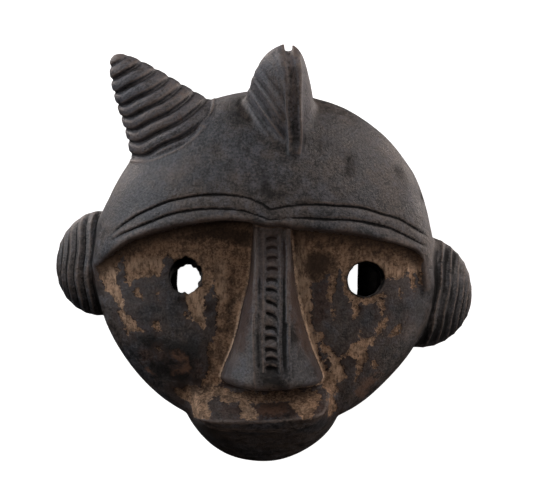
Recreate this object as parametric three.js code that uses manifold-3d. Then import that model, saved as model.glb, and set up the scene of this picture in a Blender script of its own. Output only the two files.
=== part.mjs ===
// A miniature wooden mask, carved from one block, lying on the flat rim of its hollow back.
// Lengths are in millimetres. +X is the right-hand side of someone who looks at the face,
// +Y runs up the face to the crest, and +Z comes out of the face. The origin lies on the
// plane of the rim, under the middle of the mask.

import * as THREE from 'three';
import { mergeVertices } from 'three/addons/utils/BufferGeometryUtils.js';
import Module from 'manifold-3d';

const wasm = await Module();
wasm.setup();

const degrees = Math.PI / 180;

// The named places below are measured from the middle of the face. This is the middle of
// the whole mask in the same measure, which becomes the origin.
const middle = { x: -0.1, y: -1.36 };

// The head is a round block with upright sides. Above the brow it is a dome, and below
// the brow it is cut back to a flatter face. Both are superellipses turned about +Z.
const head = {
  centreX: 0.3,
  centreY: -1.9,
  radius: 44.5,
  rimRadius: 43.0,
  wallTop: 16,
  fullFrom: 0.6,
  domeRise: 25,
  domeRoundness: 2.35,
  faceRise: 13.5,
  faceRoundness: 3.2,
  faceInset: 0.2,
  chinFallFrom: -10,
  chinFall: 0.0035,
  rightLeanFrom: 8,
  rightLean: 0.055,
  sides: 60,
  rows: 9,
};

// Each brow line is two arches, one over each eye, which meet in a dip above the nose.
// An arch is a parabola: its crown, and how fast it bends down to either side.
const browMeetsX = 1.0;
const browEdge = {
  left: { crownX: -12.7, crownY: 8.25, bend: 0.0105 },
  right: { crownX: 4.9, crownY: 6.6, bend: 0.006 },
};
const browEnds = {
  leftX: -43.2,
  rightX: 40.6,
  cornerDrop: 16,
  cornerRun: 5.5,
  cornerKnee: { run: 0.4, drop: 0.3 },
  leftDrop: 0.5,
  steps: 22,
};
const browCutDepth = 40;
const browCutBelowWall = 3;
const browGrooves = [
  {
    left: { crownX: -14.1, crownY: 14.9, bend: 0.0176 },
    right: { crownX: 13.2, crownY: 12.3, bend: 0.0112 },
  },
  {
    left: { crownX: -13.2, crownY: 11.2, bend: 0.0134 },
    right: { crownX: 8.8, crownY: 8.8, bend: 0.008 },
  },
];
const grooveReach = 40.5;
const grooveRadius = 0.85;
const grooveSteps = 28;
const grooveSides = 6;

// The nose widens from the brow to its blunt lower end. Its sections are a flat band with a
// wing that falls away at either side. Half widths and falls are given at the brow and tip.
const nose = {
  centreX: 1.7,
  topY: 10,
  brow: 6.4,
  tipY: -34.8,
  topZ: 35.4,
  tipZ: 42.4,
  rootZ: 20,
  bandHalf: { brow: 4.7, tip: 4.1 },
  wingHalf: { brow: 5.0, tip: 13.3 },
  shoulderFall: { brow: 0.5, tip: 2.7 },
  wingFall: { brow: 5.0, tip: 8.2 },
  edgeFall: 0.3,
  edgeFrom: 0.86,
  flareFrom: 0.26,
  tipRounding: 1.6,
  stations: [0, 0.12, 0.28, 0.42, 0.54, 0.64, 0.74, 0.83, 0.91, 0.97, 1],
};

// A ladder of nicks runs down a shallow trough in the middle of the nose.
const ladder = {
  troughHalf: 2.0,
  troughTopY: 5.5,
  troughLength: 36.6,
  troughDepth: 0.4,
  nicks: 13,
  firstY: 4.0,
  pitch: 2.76,
  nickHalfWidth: 2.2,
  nickHalfHeight: 0.85,
  nickDepth: 0.9,
};

// The lips stand forward as a shelf, and the jaw falls back from them to the rim. Both are
// slices of one block: the jaw's slice at the rim is half round, the lip's is squarer.
const mouth = {
  centreX: -0.6,
  jaw: { z: 0, halfWidth: 22.4, middleY: -33.2, lowY: -55.7, squareness: 2, tilt: 0 },
  lip: { z: 33.4, halfWidth: 16.4, middleY: -38.5, lowY: -45.2, squareness: 3.2, tilt: 0.045 },
  edge: { z: 35.8, halfWidth: 15.8, middleY: -38.5, lowY: -43.0, squareness: 3.4, tilt: 0.045 },
  shelfTopY: -35.5,
  shelfTopZ: 26.5,
  edgeWidth: 0.4,
  shelfHalf: 0.9,
  slices: 7,
  sliceSteps: 18,
  slitDepth: 1.2,
  slitHeight: 0.9,
  slitBelowLip: 1.1,
};

// The eyes are pits sunk from the face, which only partly break through into the hollow.
const eyes = [
  { x: -20.4, y: -5.6, halfWidth: 4.1, halfHeight: 4.75, tilt: 7 },
  { x: 25.8, y: -7.0, halfWidth: 4.6, halfHeight: 4.4, tilt: 0 },
];
const eyeFloorZ = 13;
const eyeTopZ = 36;
const eyeSides = 24;

// The hollow in the back, from its mouth on the rim's plane to its crown.
const hollow = {
  centreX: 0.85,
  centreY: -3.5,
  halfWidth: 25.2,
  halfLength: 34.5,
  squareness: 2.5,
  depth: 22.5,
  roundness: 3,
  sides: 36,
  crownTurn: 86,
  rows: 7,
  belowRim: 4,
};

// A ribbed horn of hair leans out of the dome at the upper left. Its radius grows from the
// tip as a power of the distance, and a flare at the foot widens it where it meets the dome.
const horn = {
  foot: [-23.5, 31.7, 19.5],
  axisInPlan: 117,
  axisUp: 13,
  height: 24.8,
  bodyRadius: 12.3,
  taper: 0.6,
  flare: 1.0,
  drift: 0.16,
  buried: 9,
  ribs: 8,
  plainRibs: 0,
  ribDepth: 0.9,
  sides: 22,
};

// A ribbed crest leans forward at the top, pressed flat from side to side, and a keel with
// a split front edge runs down its front from the tip to a point on the dome.
const crest = {
  foot: [2.8, 35.2, 25.6],
  axisUp: 35,
  height: 20.4,
  halfWidth: 9.8,
  halfDepth: 12.2,
  taper: 0.43,
  drift: -0.1,
  buried: 7,
  ribs: 6,
  plainRibs: 2,
  ribDepth: 0.8,
  sides: 22,
};
const keel = {
  middleX: 6.9,
  halfWidth: 2.3,
  footHalfWidth: 0.7,
  widensOver: 9,
  topHalfWidth: 1.3,
  narrowsOver: 4,
  outline: [
    [22.6, 35.5],
    [25.0, 38.0],
    [33, 40.5],
    [42, 41.4],
    [47.6, 41.0],
    [50.8, 39.4],
    [52.5, 36.8],
    [52.8, 33.6],
    [48, 29],
    [30, 24],
  ],
  splitX: 6.4,
  splitWidth: 1.1,
  splitDepth: 1.6,
  splitInset: 0.56,
  splitPoints: 8,
  splitClear: [1, 3],
};

// A ribbed bun of hair stands out of each side, low on the block.
const buns = [
  { centre: [-43.2, -2.8, 12.6], turn: 180, dip: 10, radius: 13.4, depth: 11.4, reach: 11.4 },
  { centre: [40.8, -10.8, 12.8], turn: -9.5, dip: 10, radius: 14.2, depth: 11.8, reach: 13.7 },
];
const bunShape = { buried: 6, ribs: 6, plainRibs: 0, ribDepth: 0.8, sides: 22 };

// A rib of a tuft, in shares of the ribs' pitch: its near shoulder, how wide it is and where
// the groove after it lies, with the share of the radius that is kept at the buried end.
const rib = { shoulder: 0.4, width: 0.3, groove: 0.5, buriedShare: 0.8 };

const woodColour = new THREE.Color(0.045, 0.041, 0.04);
const woodRoughness = 0.55;

// Height of a superellipse cap above the top of the wall, at a share of its radius.
function capHeight(share, rise, roundness) {
  const inside = Math.max(0, 1 - Math.pow(Math.min(1, share), roundness));
  return rise * Math.pow(inside, 1 / roundness);
}

function domeZ(x, y) {
  const share = Math.hypot(x - head.centreX, y - head.centreY) / head.radius;
  return head.wallTop + capHeight(share, head.domeRise, head.domeRoundness);
}

function archY(line, x) {
  const arch = x < browMeetsX ? line.left : line.right;
  return arch.crownY - arch.bend * (x - arch.crownX) ** 2;
}

// A sine or cosine bent so that the round it draws becomes a squarer superellipse.
function squared(wave, squareness) {
  return Math.sign(wave) * Math.pow(Math.abs(wave), 2 / squareness);
}

function mix(low, high, share) {
  return low + (high - low) * share;
}

function smoothstep(low, high, value) {
  const t = Math.min(1, Math.max(0, (value - low) / (high - low)));
  return t * t * (3 - 2 * t);
}

// A three.js geometry as a solid, with shared vertices merged and faces pointing out.
function solidOf(geometry) {
  const bare = new THREE.BufferGeometry();
  bare.setAttribute('position', geometry.getAttribute('position').clone());
  if (geometry.index) bare.setIndex(geometry.index);
  const merged = mergeVertices(bare, 1e-4);
  const triVerts = Uint32Array.from(merged.index.array);
  const vertProperties = Float32Array.from(merged.attributes.position.array);
  const solid = new wasm.Manifold(new wasm.Mesh({ numProp: 3, vertProperties, triVerts }));
  if (solid.volume() > 0) return solid;
  for (let i = 0; i < triVerts.length; i += 3) {
    [triVerts[i], triVerts[i + 1]] = [triVerts[i + 1], triVerts[i]];
  }
  return new wasm.Manifold(new wasm.Mesh({ numProp: 3, vertProperties, triVerts }));
}

function geometryOf(solid) {
  const mesh = solid.getMesh();
  const geometry = new THREE.BufferGeometry();
  geometry.setAttribute('position', new THREE.BufferAttribute(mesh.vertProperties, 3));
  geometry.setIndex(new THREE.BufferAttribute(mesh.triVerts, 1));
  geometry.computeVertexNormals();
  return geometry;
}

// A closed skin over rings of points, each ring with the same number of points.
function loft(rings) {
  const count = rings[0].length;
  const points = rings.flat();
  const faces = [];
  for (let r = 0; r + 1 < rings.length; r++) {
    for (let i = 0; i < count; i++) {
      const a = r * count + i;
      const b = r * count + ((i + 1) % count);
      faces.push(a, b, a + count, b, b + count, a + count);
    }
  }
  const capRing = (ring, start, turned) => {
    const centre = ring.reduce((sum, p) => sum.add(p), new THREE.Vector3());
    points.push(centre.divideScalar(count));
    for (let i = 0; i < count; i++) {
      const next = (i + 1) % count;
      if (turned) faces.push(points.length - 1, start + next, start + i);
      else faces.push(points.length - 1, start + i, start + next);
    }
  };
  capRing(rings[0], 0, true);
  capRing(rings.at(-1), (rings.length - 1) * count, false);
  const geometry = new THREE.BufferGeometry().setFromPoints(points);
  geometry.setIndex(faces);
  return geometry;
}

// A round block with a superellipse cap, turned about +Z.
function cappedBlock(radius, rimRadius, rise, roundness) {
  const profile = [new THREE.Vector2(0, 0), new THREE.Vector2(rimRadius, 0)];
  profile.push(new THREE.Vector2(radius, head.wallTop * head.fullFrom));
  for (let row = 0; row < head.rows; row++) {
    const turn = (row / head.rows) * 90 * degrees;
    const out = radius * Math.pow(Math.cos(turn), 2 / roundness);
    const up = head.wallTop + rise * Math.pow(Math.sin(turn), 2 / roundness);
    profile.push(new THREE.Vector2(out, up));
  }
  profile.push(new THREE.Vector2(0, head.wallTop + rise));
  const block = new THREE.LatheGeometry(profile, head.sides);
  return block.rotateX(90 * degrees).translate(head.centreX, head.centreY, 0);
}

// The dome ends at the brow, which turns down at both ends and runs out into the side walls.
function makeDome() {
  const block = cappedBlock(head.radius, head.rimRadius, head.domeRise, head.domeRoundness);
  const { leftX, rightX, cornerDrop, cornerRun, cornerKnee, leftDrop } = browEnds;
  const footY = head.centreY - head.radius - cornerRun;
  const belowBrow = new THREE.Shape();
  belowBrow.moveTo(leftX - cornerRun, footY);
  belowBrow.lineTo(rightX + cornerRun, footY);
  const rightY = archY(browEdge, rightX);
  const leftY = archY(browEdge, leftX);
  belowBrow.lineTo(rightX + cornerRun, rightY - cornerDrop);
  belowBrow.lineTo(rightX + cornerRun * cornerKnee.run, rightY - cornerDrop * cornerKnee.drop);
  for (let i = 0; i <= browEnds.steps; i++) {
    const x = mix(rightX, leftX, i / browEnds.steps);
    belowBrow.lineTo(x, archY(browEdge, x));
  }
  belowBrow.lineTo(leftX - cornerRun, leftY - cornerDrop * leftDrop);
  const options = { depth: browCutDepth, bevelEnabled: false };
  const cutter = new THREE.ExtrudeGeometry(belowBrow, options);
  cutter.translate(0, 0, head.wallTop - browCutBelowWall);
  return solidOf(block).subtract(solidOf(cutter));
}

// The face falls back towards the chin, and its right-hand side leans in towards the front.
function makeFace() {
  const radius = head.radius - head.faceInset;
  const rimRadius = head.rimRadius - head.faceInset;
  const block = cappedBlock(radius, rimRadius, head.faceRise, head.faceRoundness);
  const position = block.getAttribute('position');
  for (let i = 0; i < position.count; i++) {
    const [x, y, z] = [position.getX(i), position.getY(i), position.getZ(i)];
    const below = Math.max(0, head.chinFallFrom - y);
    const share = Math.max(0, z - head.wallTop) / head.faceRise;
    const leant = smoothstep(head.rightLeanFrom, head.wallTop, z);
    if (x > 0) position.setX(i, x * (1 - head.rightLean * leant));
    position.setZ(i, z - share * head.chinFall * below * below);
  }
  return solidOf(block);
}

function makeBrowGrooves() {
  const section = new THREE.Shape();
  for (let i = 0; i < grooveSides; i++) {
    const turn = (i / grooveSides) * 360 * degrees;
    const corner = [grooveRadius * Math.cos(turn), grooveRadius * Math.sin(turn)];
    if (i === 0) section.moveTo(...corner);
    else section.lineTo(...corner);
  }
  const tubes = browGrooves.map((line) => {
    const points = [];
    for (let i = 0; i <= grooveSteps; i++) {
      const x = -grooveReach + (2 * grooveReach * i) / grooveSteps;
      const y = archY(line, x);
      points.push(new THREE.Vector3(x, y, domeZ(x, y)));
    }
    const path = new THREE.CatmullRomCurve3(points);
    const options = { steps: grooveSteps, extrudePath: path, bevelEnabled: false };
    return solidOf(new THREE.ExtrudeGeometry(section, options));
  });
  return tubes[0].add(tubes[1]);
}

function noseZ(y) {
  const share = (nose.brow - y) / (nose.brow - nose.tipY);
  return nose.topZ + (nose.tipZ - nose.topZ) * share;
}

function makeNose() {
  const rings = nose.stations.map((t) => {
    const y = mix(nose.topY, nose.tipY, t);
    const flare = smoothstep(nose.flareFrom, 1, t);
    const rounding = t === 1 ? nose.tipRounding : 0;
    const band = mix(nose.bandHalf.brow, nose.bandHalf.tip, flare);
    const wing = mix(nose.wingHalf.brow, nose.wingHalf.tip, flare) - rounding / 2;
    const top = noseZ(y) - rounding;
    const shoulder = top - mix(nose.shoulderFall.brow, nose.shoulderFall.tip, flare);
    const low = top - mix(nose.wingFall.brow, nose.wingFall.tip, flare);
    const half = [
      [wing, nose.rootZ],
      [wing, low],
      [mix(band, wing, nose.edgeFrom), (low + shoulder) / 2],
      [(band + wing) / 2, shoulder],
      [band, top - nose.edgeFall],
      [band * nose.edgeFrom, top],
    ];
    const mirrored = half.map(([x, z]) => [-x, z]).reverse();
    return [...half, ...mirrored].map(([x, z]) => new THREE.Vector3(nose.centreX + x, y, z));
  });
  return solidOf(loft(rings));
}

function makeLadder() {
  const slope = Math.atan2(nose.tipZ - nose.topZ, nose.brow - nose.tipY);
  const middleY = ladder.troughTopY - ladder.troughLength / 2;
  const onNose = (geometry, y) =>
    solidOf(geometry.rotateX(-slope).translate(nose.centreX, y, noseZ(y)));
  const troughSize = [2 * ladder.troughHalf, ladder.troughLength, 2 * ladder.troughDepth];
  let cuts = onNose(new THREE.BoxGeometry(...troughSize), middleY);
  const nickTop = ladder.nickDepth + ladder.troughDepth;
  for (let i = 0; i < ladder.nicks; i++) {
    const nick = new THREE.ConeGeometry(Math.SQRT2, 2 * nickTop, 4);
    nick.rotateY(45 * degrees).rotateX(-90 * degrees);
    nick.scale(ladder.nickHalfWidth * 2, ladder.nickHalfHeight * 2, 1);
    cuts = cuts.add(onNose(nick, ladder.firstY - ladder.pitch * i));
  }
  return cuts;
}

// One level slice of the mouth block, between two named slices. Its lower side is half of a
// superellipse, and its upper side is buried in the face or follows the shelf of the lip.
function mouthSlice(from, to, share) {
  const z = mix(from.z, to.z, share);
  const halfWidth = mix(from.halfWidth, to.halfWidth, share);
  const middleY = mix(from.middleY, to.middleY, share);
  const lowY = mix(from.lowY, to.lowY, share);
  const squareness = mix(from.squareness, to.squareness, share);
  const tilt = mix(from.tilt, to.tilt, share);
  const shelf = Math.max(0, (z - mouth.shelfTopZ) / (mouth.edge.z - mouth.shelfTopZ));
  const topY = mix(mouth.shelfTopY, lowY + mouth.edgeWidth, shelf);
  const ring = [];
  for (let i = 0; i <= mouth.sliceSteps; i++) {
    const turn = (i / mouth.sliceSteps) * 180 * degrees;
    const x = -halfWidth * squared(Math.cos(turn), squareness);
    const y = middleY + (lowY - middleY) * squared(Math.sin(turn), squareness) + tilt * x;
    const highest = topY + tilt * x - mouth.edgeWidth / 4;
    ring.push(new THREE.Vector3(mouth.centreX + x, Math.min(y, highest), z));
  }
  for (const x of [mouth.shelfHalf * halfWidth, 0, -mouth.shelfHalf * halfWidth]) {
    ring.push(new THREE.Vector3(mouth.centreX + x, topY + tilt * x, z));
  }
  return ring;
}

function makeMouth() {
  const { jaw, lip, edge } = mouth;
  const rings = [];
  for (let i = 0; i <= mouth.slices; i++) rings.push(mouthSlice(jaw, lip, i / mouth.slices));
  rings.push(mouthSlice(lip, edge, 1));
  const slit = new THREE.BoxGeometry(3 * lip.halfWidth, 2 * mouth.slitDepth, mouth.slitHeight);
  slit.rotateZ(Math.atan(lip.tilt));
  slit.translate(0, lip.lowY, lip.z - mouth.slitBelowLip);
  return solidOf(loft(rings)).subtract(solidOf(slit));
}

function makeHollow() {
  const rings = [];
  for (let row = -1; row <= hollow.rows; row++) {
    const turn = (Math.max(0, row) / hollow.rows) * hollow.crownTurn * degrees;
    const spread = squared(Math.cos(turn), hollow.roundness);
    const height = hollow.depth * squared(Math.sin(turn), hollow.roundness);
    const z = row < 0 ? -hollow.belowRim : height;
    const ring = [];
    for (let i = 0; i < hollow.sides; i++) {
      const around = (i / hollow.sides) * 360 * degrees;
      const across = squared(Math.cos(around), hollow.squareness);
      const along = squared(Math.sin(around), hollow.squareness);
      const x = hollow.centreX + hollow.halfWidth * spread * across;
      const y = hollow.centreY + hollow.halfLength * spread * along;
      ring.push(new THREE.Vector3(x, y, z));
    }
    rings.push(ring);
  }
  return solidOf(loft(rings));
}

function makeEye(eye) {
  const pit = new THREE.CylinderGeometry(1, 1, eyeTopZ - eyeFloorZ, eyeSides);
  pit.rotateX(90 * degrees).translate(0, 0, -(eyeTopZ - eyeFloorZ) / 2);
  pit.scale(eye.halfWidth, eye.halfHeight, 1).rotateX(-eye.tilt * degrees);
  const faceZ = head.wallTop + head.faceRise;
  const lean = (eyeTopZ - faceZ) * Math.tan(eye.tilt * degrees);
  pit.translate(eye.x, eye.y + lean, eyeTopZ);
  return solidOf(pit);
}

// The profile of a ribbed tuft, from its tip at 0 to its buried end, as radius and depth.
function ribbedProfile(radiusAt, length, shape, ribDepth) {
  const profile = [new THREE.Vector2(0, 0)];
  const pitch = length / (shape.ribs + 0.5);
  const near = pitch * rib.shoulder * rib.width;
  profile.push(new THREE.Vector2(radiusAt(near), near));
  for (let i = 0; i <= shape.ribs; i++) {
    const start = (i + rib.shoulder) * pitch;
    const far = start + rib.width * pitch;
    const grooveAt = start + rib.groove * pitch;
    const depth = i < shape.plainRibs ? 0 : ribDepth;
    profile.push(new THREE.Vector2(radiusAt(start), start));
    if (i === shape.ribs) break;
    profile.push(new THREE.Vector2(radiusAt(far), far));
    profile.push(new THREE.Vector2(radiusAt(grooveAt) - depth, grooveAt));
  }
  const end = length + shape.buried;
  profile.push(new THREE.Vector2(radiusAt(length) * rib.buriedShare, end));
  profile.push(new THREE.Vector2(0, end));
  return profile;
}

// Turned about +Y with its tip at +Y, sheared so that the tip drifts towards -X.
function turnedTuft(profile, length, sides, drift) {
  const tuft = new THREE.LatheGeometry(profile, sides);
  tuft.scale(1, -1, 1).translate(0, length, 0);
  return tuft.applyMatrix4(new THREE.Matrix4().makeShear(0, 0, -drift, 0, 0, 0));
}

function makeHorn() {
  const radiusAt = (h) => {
    const share = Math.min(1, h / horn.height);
    return horn.bodyRadius * Math.pow(share, horn.taper) + horn.flare * Math.pow(share, 6);
  };
  const profile = ribbedProfile(radiusAt, horn.height, horn, horn.ribDepth);
  const tuft = turnedTuft(profile, horn.height, horn.sides, horn.drift);
  tuft.rotateX(horn.axisUp * degrees).rotateZ((horn.axisInPlan - 90) * degrees);
  return solidOf(tuft.translate(...horn.foot));
}

function makeCrest() {
  const radiusAt = (h) => Math.pow(Math.min(1, h / crest.height), crest.taper);
  const profile = ribbedProfile(radiusAt, crest.height, crest, crest.ribDepth / crest.halfWidth);
  const tuft = turnedTuft(profile, crest.height, crest.sides, 0);
  tuft.scale(crest.halfWidth, 1, crest.halfDepth);
  tuft.applyMatrix4(new THREE.Matrix4().makeShear(0, 0, -crest.drift, 0, 0, 0));
  tuft.rotateX(crest.axisUp * degrees);
  return solidOf(tuft.translate(...crest.foot));
}

// The keel is drawn in the plane of Y and Z, narrows to a point at its foot, and has a
// groove down the middle of its front edge.
function makeKeel() {
  const sideView = (points) => new THREE.Shape(points.map(([y, z]) => new THREE.Vector2(y, z)));
  const upright = (x) => new THREE.Matrix4().set(0, 0, 1, x, 1, 0, 0, 0, 0, 1, 0, 0, 0, 0, 0, 1);
  const plate = new THREE.ExtrudeGeometry(sideView(keel.outline), {
    depth: 2 * keel.halfWidth,
    bevelEnabled: false,
  });
  plate.applyMatrix4(upright(keel.middleX - keel.halfWidth));
  const position = plate.getAttribute('position');
  const footY = keel.outline[0][0];
  const topY = Math.max(...keel.outline.map(([y]) => y));
  for (let i = 0; i < position.count; i++) {
    const side = Math.sign(position.getX(i) - keel.middleX);
    const up = smoothstep(footY, footY + keel.widensOver, position.getY(i));
    const down = smoothstep(topY, topY - keel.narrowsOver, position.getY(i));
    const fromFoot = mix(keel.footHalfWidth, keel.halfWidth, up);
    const halfWidth = mix(keel.topHalfWidth, fromFoot, down);
    position.setX(i, keel.middleX + side * halfWidth);
  }
  const edge = keel.outline.slice(0, keel.splitPoints);
  const inner = edge.map(([y, z]) => [y - keel.splitInset, z - keel.splitDepth]).reverse();
  const outer = edge.map(([y, z]) => [y + keel.splitClear[0], z + keel.splitClear[1]]);
  const split = new THREE.ExtrudeGeometry(sideView([...outer, ...inner]), {
    depth: keel.splitWidth,
    bevelEnabled: false,
  });
  split.applyMatrix4(upright(keel.splitX - keel.splitWidth / 2));
  return solidOf(plate).subtract(solidOf(split));
}

// A half ellipsoid with rings of ribs, turned to point out of the side of the block.
function makeBun(bun) {
  const length = bun.reach;
  const radiusAt = (h) => {
    const fromFoot = Math.max(0, 1 - h / length);
    return Math.sqrt(Math.max(0, 1 - fromFoot * fromFoot));
  };
  const profile = ribbedProfile(radiusAt, length, bunShape, bunShape.ribDepth / bun.radius);
  const tuft = turnedTuft(profile, length, bunShape.sides, 0);
  tuft.scale(bun.radius, 1, bun.depth).rotateZ(-90 * degrees);
  tuft.rotateY(bun.dip * degrees).rotateZ(bun.turn * degrees);
  return solidOf(tuft.translate(...bun.centre));
}

function makeMask() {
  let wood = makeDome().subtract(makeBrowGrooves()).add(makeFace());
  wood = wood.add(makeNose()).add(makeMouth());
  wood = wood.add(makeHorn()).add(makeCrest()).add(makeKeel());
  for (const bun of buns) wood = wood.add(makeBun(bun));
  wood = wood.subtract(makeLadder()).subtract(makeHollow());
  for (const eye of eyes) wood = wood.subtract(makeEye(eye));
  const material = new THREE.MeshStandardMaterial({
    color: woodColour,
    roughness: woodRoughness,
    metalness: 0,
  });
  const mesh = new THREE.Mesh(geometryOf(wood), material);
  mesh.position.set(-middle.x, -middle.y, 0);
  mesh.name = 'mask';
  return mesh;
}

const group = new THREE.Group();
group.add(makeMask());

export default group;
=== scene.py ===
from functools import partial
from itertools import combinations, product
import math

import bpy
import mathutils
import numpy as np
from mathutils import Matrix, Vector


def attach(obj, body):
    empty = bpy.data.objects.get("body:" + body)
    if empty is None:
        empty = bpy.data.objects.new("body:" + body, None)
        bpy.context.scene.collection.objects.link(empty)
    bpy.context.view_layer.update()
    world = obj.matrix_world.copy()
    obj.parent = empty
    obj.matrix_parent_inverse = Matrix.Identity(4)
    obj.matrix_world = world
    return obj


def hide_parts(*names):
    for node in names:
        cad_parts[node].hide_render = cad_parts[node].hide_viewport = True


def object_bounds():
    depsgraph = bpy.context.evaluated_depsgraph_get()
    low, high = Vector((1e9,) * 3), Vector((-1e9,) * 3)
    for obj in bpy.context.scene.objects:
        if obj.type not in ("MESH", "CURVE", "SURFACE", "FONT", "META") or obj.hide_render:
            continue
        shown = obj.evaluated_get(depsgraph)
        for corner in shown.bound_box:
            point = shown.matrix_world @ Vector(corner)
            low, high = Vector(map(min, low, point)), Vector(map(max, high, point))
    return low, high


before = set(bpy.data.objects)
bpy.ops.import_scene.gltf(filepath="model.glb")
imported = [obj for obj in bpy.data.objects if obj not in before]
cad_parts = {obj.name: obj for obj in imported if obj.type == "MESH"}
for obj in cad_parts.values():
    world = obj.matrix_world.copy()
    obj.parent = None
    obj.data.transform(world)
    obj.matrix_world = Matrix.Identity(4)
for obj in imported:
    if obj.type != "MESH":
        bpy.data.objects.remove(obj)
cadLow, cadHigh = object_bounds()

# Camera

shot = {
    "standOff": 0.8,          # from the lens to the plane that the photo was measured on
    "planeHeight": 0.018,
    "pixel": 0.00026,         # what one pixel of the photo spans on that plane
    "photoWidth": 533,
    "sensor": 36,
    "overX": 0.00049,
    "overY": 0.00305,
}


def makeCamera():
    lens = bpy.data.cameras.new("camera")
    lens.sensor_width = shot["sensor"]
    lens.lens = shot["sensor"] * shot["standOff"] / (shot["photoWidth"] * shot["pixel"])
    camera = bpy.data.objects.new("camera", lens)
    camera.location = (shot["overX"], shot["overY"], shot["planeHeight"] + shot["standOff"])
    bpy.context.scene.collection.objects.link(camera)
    bpy.context.scene.camera = camera


makeCamera()
print("camera set")

# Carving tools: soft joins and cuts between distance fields

slopeStep = 0.1               # how far aside a line's slope is read
leastShare = 0.004            # keeps the steepness of a tip finite


def smoothStep(low, high, value):
    t = np.clip((value - low) / (high - low), 0.0, 1.0)
    return t * t * (3.0 - 2.0 * t)


def mix(low, high, share):
    return low + (high - low) * share


def softMin(a, b, reach):
    h = np.maximum(reach - np.abs(a - b), 0.0) / reach
    return np.minimum(a, b) - h * h * reach * 0.25


def softMax(a, b, reach):
    return -softMin(-a, -b, reach)


def along(line, y):
    return np.interp(y, *zip(*line)).astype(np.float32)


def turned(a, b, degrees):
    turn = math.radians(degrees)
    return a * math.cos(turn) + b * math.sin(turn), b * math.cos(turn) - a * math.sin(turn)


def roundedBy(power, a, halfA, b, halfB, least):
    # distance to a superellipse of two half lengths, where a and b are shares of them
    size = np.maximum(a ** power + b ** power, 1e-6) ** (1.0 / power)
    steepness = np.hypot(a ** (power - 1.0) / halfA, b ** (power - 1.0) / halfB)
    return (size - 1.0) / np.maximum(steepness * size ** (1.0 - power), least)


# The knife's hand: slow waves that keep every line from being ruled, each with a short one on it
hand = {"sway": 0.13, "short": 0.6, "lift": 0.1}


def byHand(x, y, z):
    sway, short = hand["sway"], hand["short"]
    aside = sway * (np.sin(y / 5.1 + z / 8.3 + 1.0) + short * np.sin(y / 2.3 - z / 4.1 + 2.0))
    onward = sway * (np.sin(x / 6.3 + z / 7.9 + 3.0) + short * np.sin(x / 2.7 + z / 4.7))
    up = hand["lift"] * np.sin(x / 7.7 + y / 6.1)
    return x + aside, y + onward, z + up


# Head: a round block, a dome above the brow and a flatter face below it

head = {
    "centreX": 0.3, "centreY": -1.9, "radius": 44.5, "rimRadius": 43.0,
    "wallTop": 16.0, "fullFrom": 0.6,     # the share of the wall at which it is at its widest
    "domeRise": 25.0, "domeRoundness": 2.35,
    "faceRise": 13.5, "faceRoundness": 3.2, "faceInset": 0.2,
    "chinFallFrom": -10.0, "chinFall": 0.0035,
    "swell": (                # how far the rim strays from its round, by bearing in degrees
        (-180, 0.65), (-168, 0.4), (-150, 0.45), (-120, 0.35), (-95, 0.0), (-60, 0.4), (-45, 0.1),
        (-30, 0.2), (-16, 0.6), (-9, -0.2), (0, -0.85), (12, -0.95), (22, -0.55), (30, 0.0),
        (62, 0.0), (72, -0.45), (103, -0.5), (125, -0.6), (147, -1.0), (159, -0.45), (168, 0.3),
        (180, 0.65),
    ),
    "swellIn": (25.0, 42.0),  # the radii between which it fades in
    "faceDive": (1.0, 4.0, 1.5),      # how the face sinks outside its recess: from, to, depth
    "browRounding": 1.5,
    "browFillet": (0.05, 3.2, 9.0),   # at the wall's top, what is added above, and over what height
}

brow = {
    "meetsX": 1.0, "meetsOver": 1.4,
    "edge": {                 # two arches meet in each line: crown X, crown Y and bend
        "left": (-12.7, 8.25, 0.0105), "right": (4.9, 6.6, 0.006),
        "strays": (           # how far the knife ran off the arch
            (-40.0, -1.2), (-34.0, -0.1), (-25.0, -0.8), (-18.0, -0.7), (-12.0, -0.2),
            (-4.0, 0.45), (3.8, 0.4), (8.0, -0.5), (15.0, -0.6), (23.0, -0.15), (29.0, 0.0),
            (33.0, 0.6), (40.0, 0.9),
        ),
    },
    "lower": {
        "left": (-13.2, 10.9, 0.0134), "right": (8.8, 8.5, 0.008),
        "strays": (
            (-37.0, 1.3), (-33.0, 0.8), (-28.0, 0.25), (-10.0, 0.25), (-5.0, 0.7), (-0.5, 0.6),
            (4.0, 0.25), (15.0, 0.35), (20.0, 0.8), (25.0, 1.3), (32.0, 2.1), (40.0, 1.7),
        ),
    },
    "upper": {
        "left": (-14.1, 14.5, 0.0176), "right": (13.2, 11.9, 0.0112),
        "strays": (
            (-37.0, 1.4), (-33.0, 1.3), (-28.0, 0.6), (-21.0, 0.0), (-12.0, 0.3), (-8.0, 0.6),
            (-4.0, 1.3), (0.0, 1.4), (3.0, 0.6), (18.0, 0.2), (25.0, 0.8), (30.0, 1.0),
            (34.0, 1.8), (40.0, 1.5),
        ),
    },
    "leftX": -42.6, "leftRun": 1.4, "cornerRounding": (1.4, 2.6),
    "endEase": 0.6,           # how much softer the ledge is at its ends, and where they begin
    "leftEase": (-37.0, -42.0), "rightEase": (38.0, 41.5),
    "rightSide": (            # how far right the sunken face reaches, by height
        (-22.0, 52.0), (-14.0, 48.0), (-11.0, 44.6), (-8.0, 42.4), (-5.0, 41.6), (-3.0, 41.4),
        (-1.0, 41.0), (2.0, 40.0),
    ),
    "cutDepth": 0.85, "cutWall": (-0.32, 0.128), "rollShare": 0.62, "leastGap": 0.7,
    "cutShare": ((-16.0, 1.0), (-8.0, 0.75), (-2.0, 0.5), (5.0, 0.45), (10.0, 0.65), (16.0, 1.0)),
    "cutFrom": -41.0, "cutTo": 43.0, "cutFade": 6.0,
}


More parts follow.
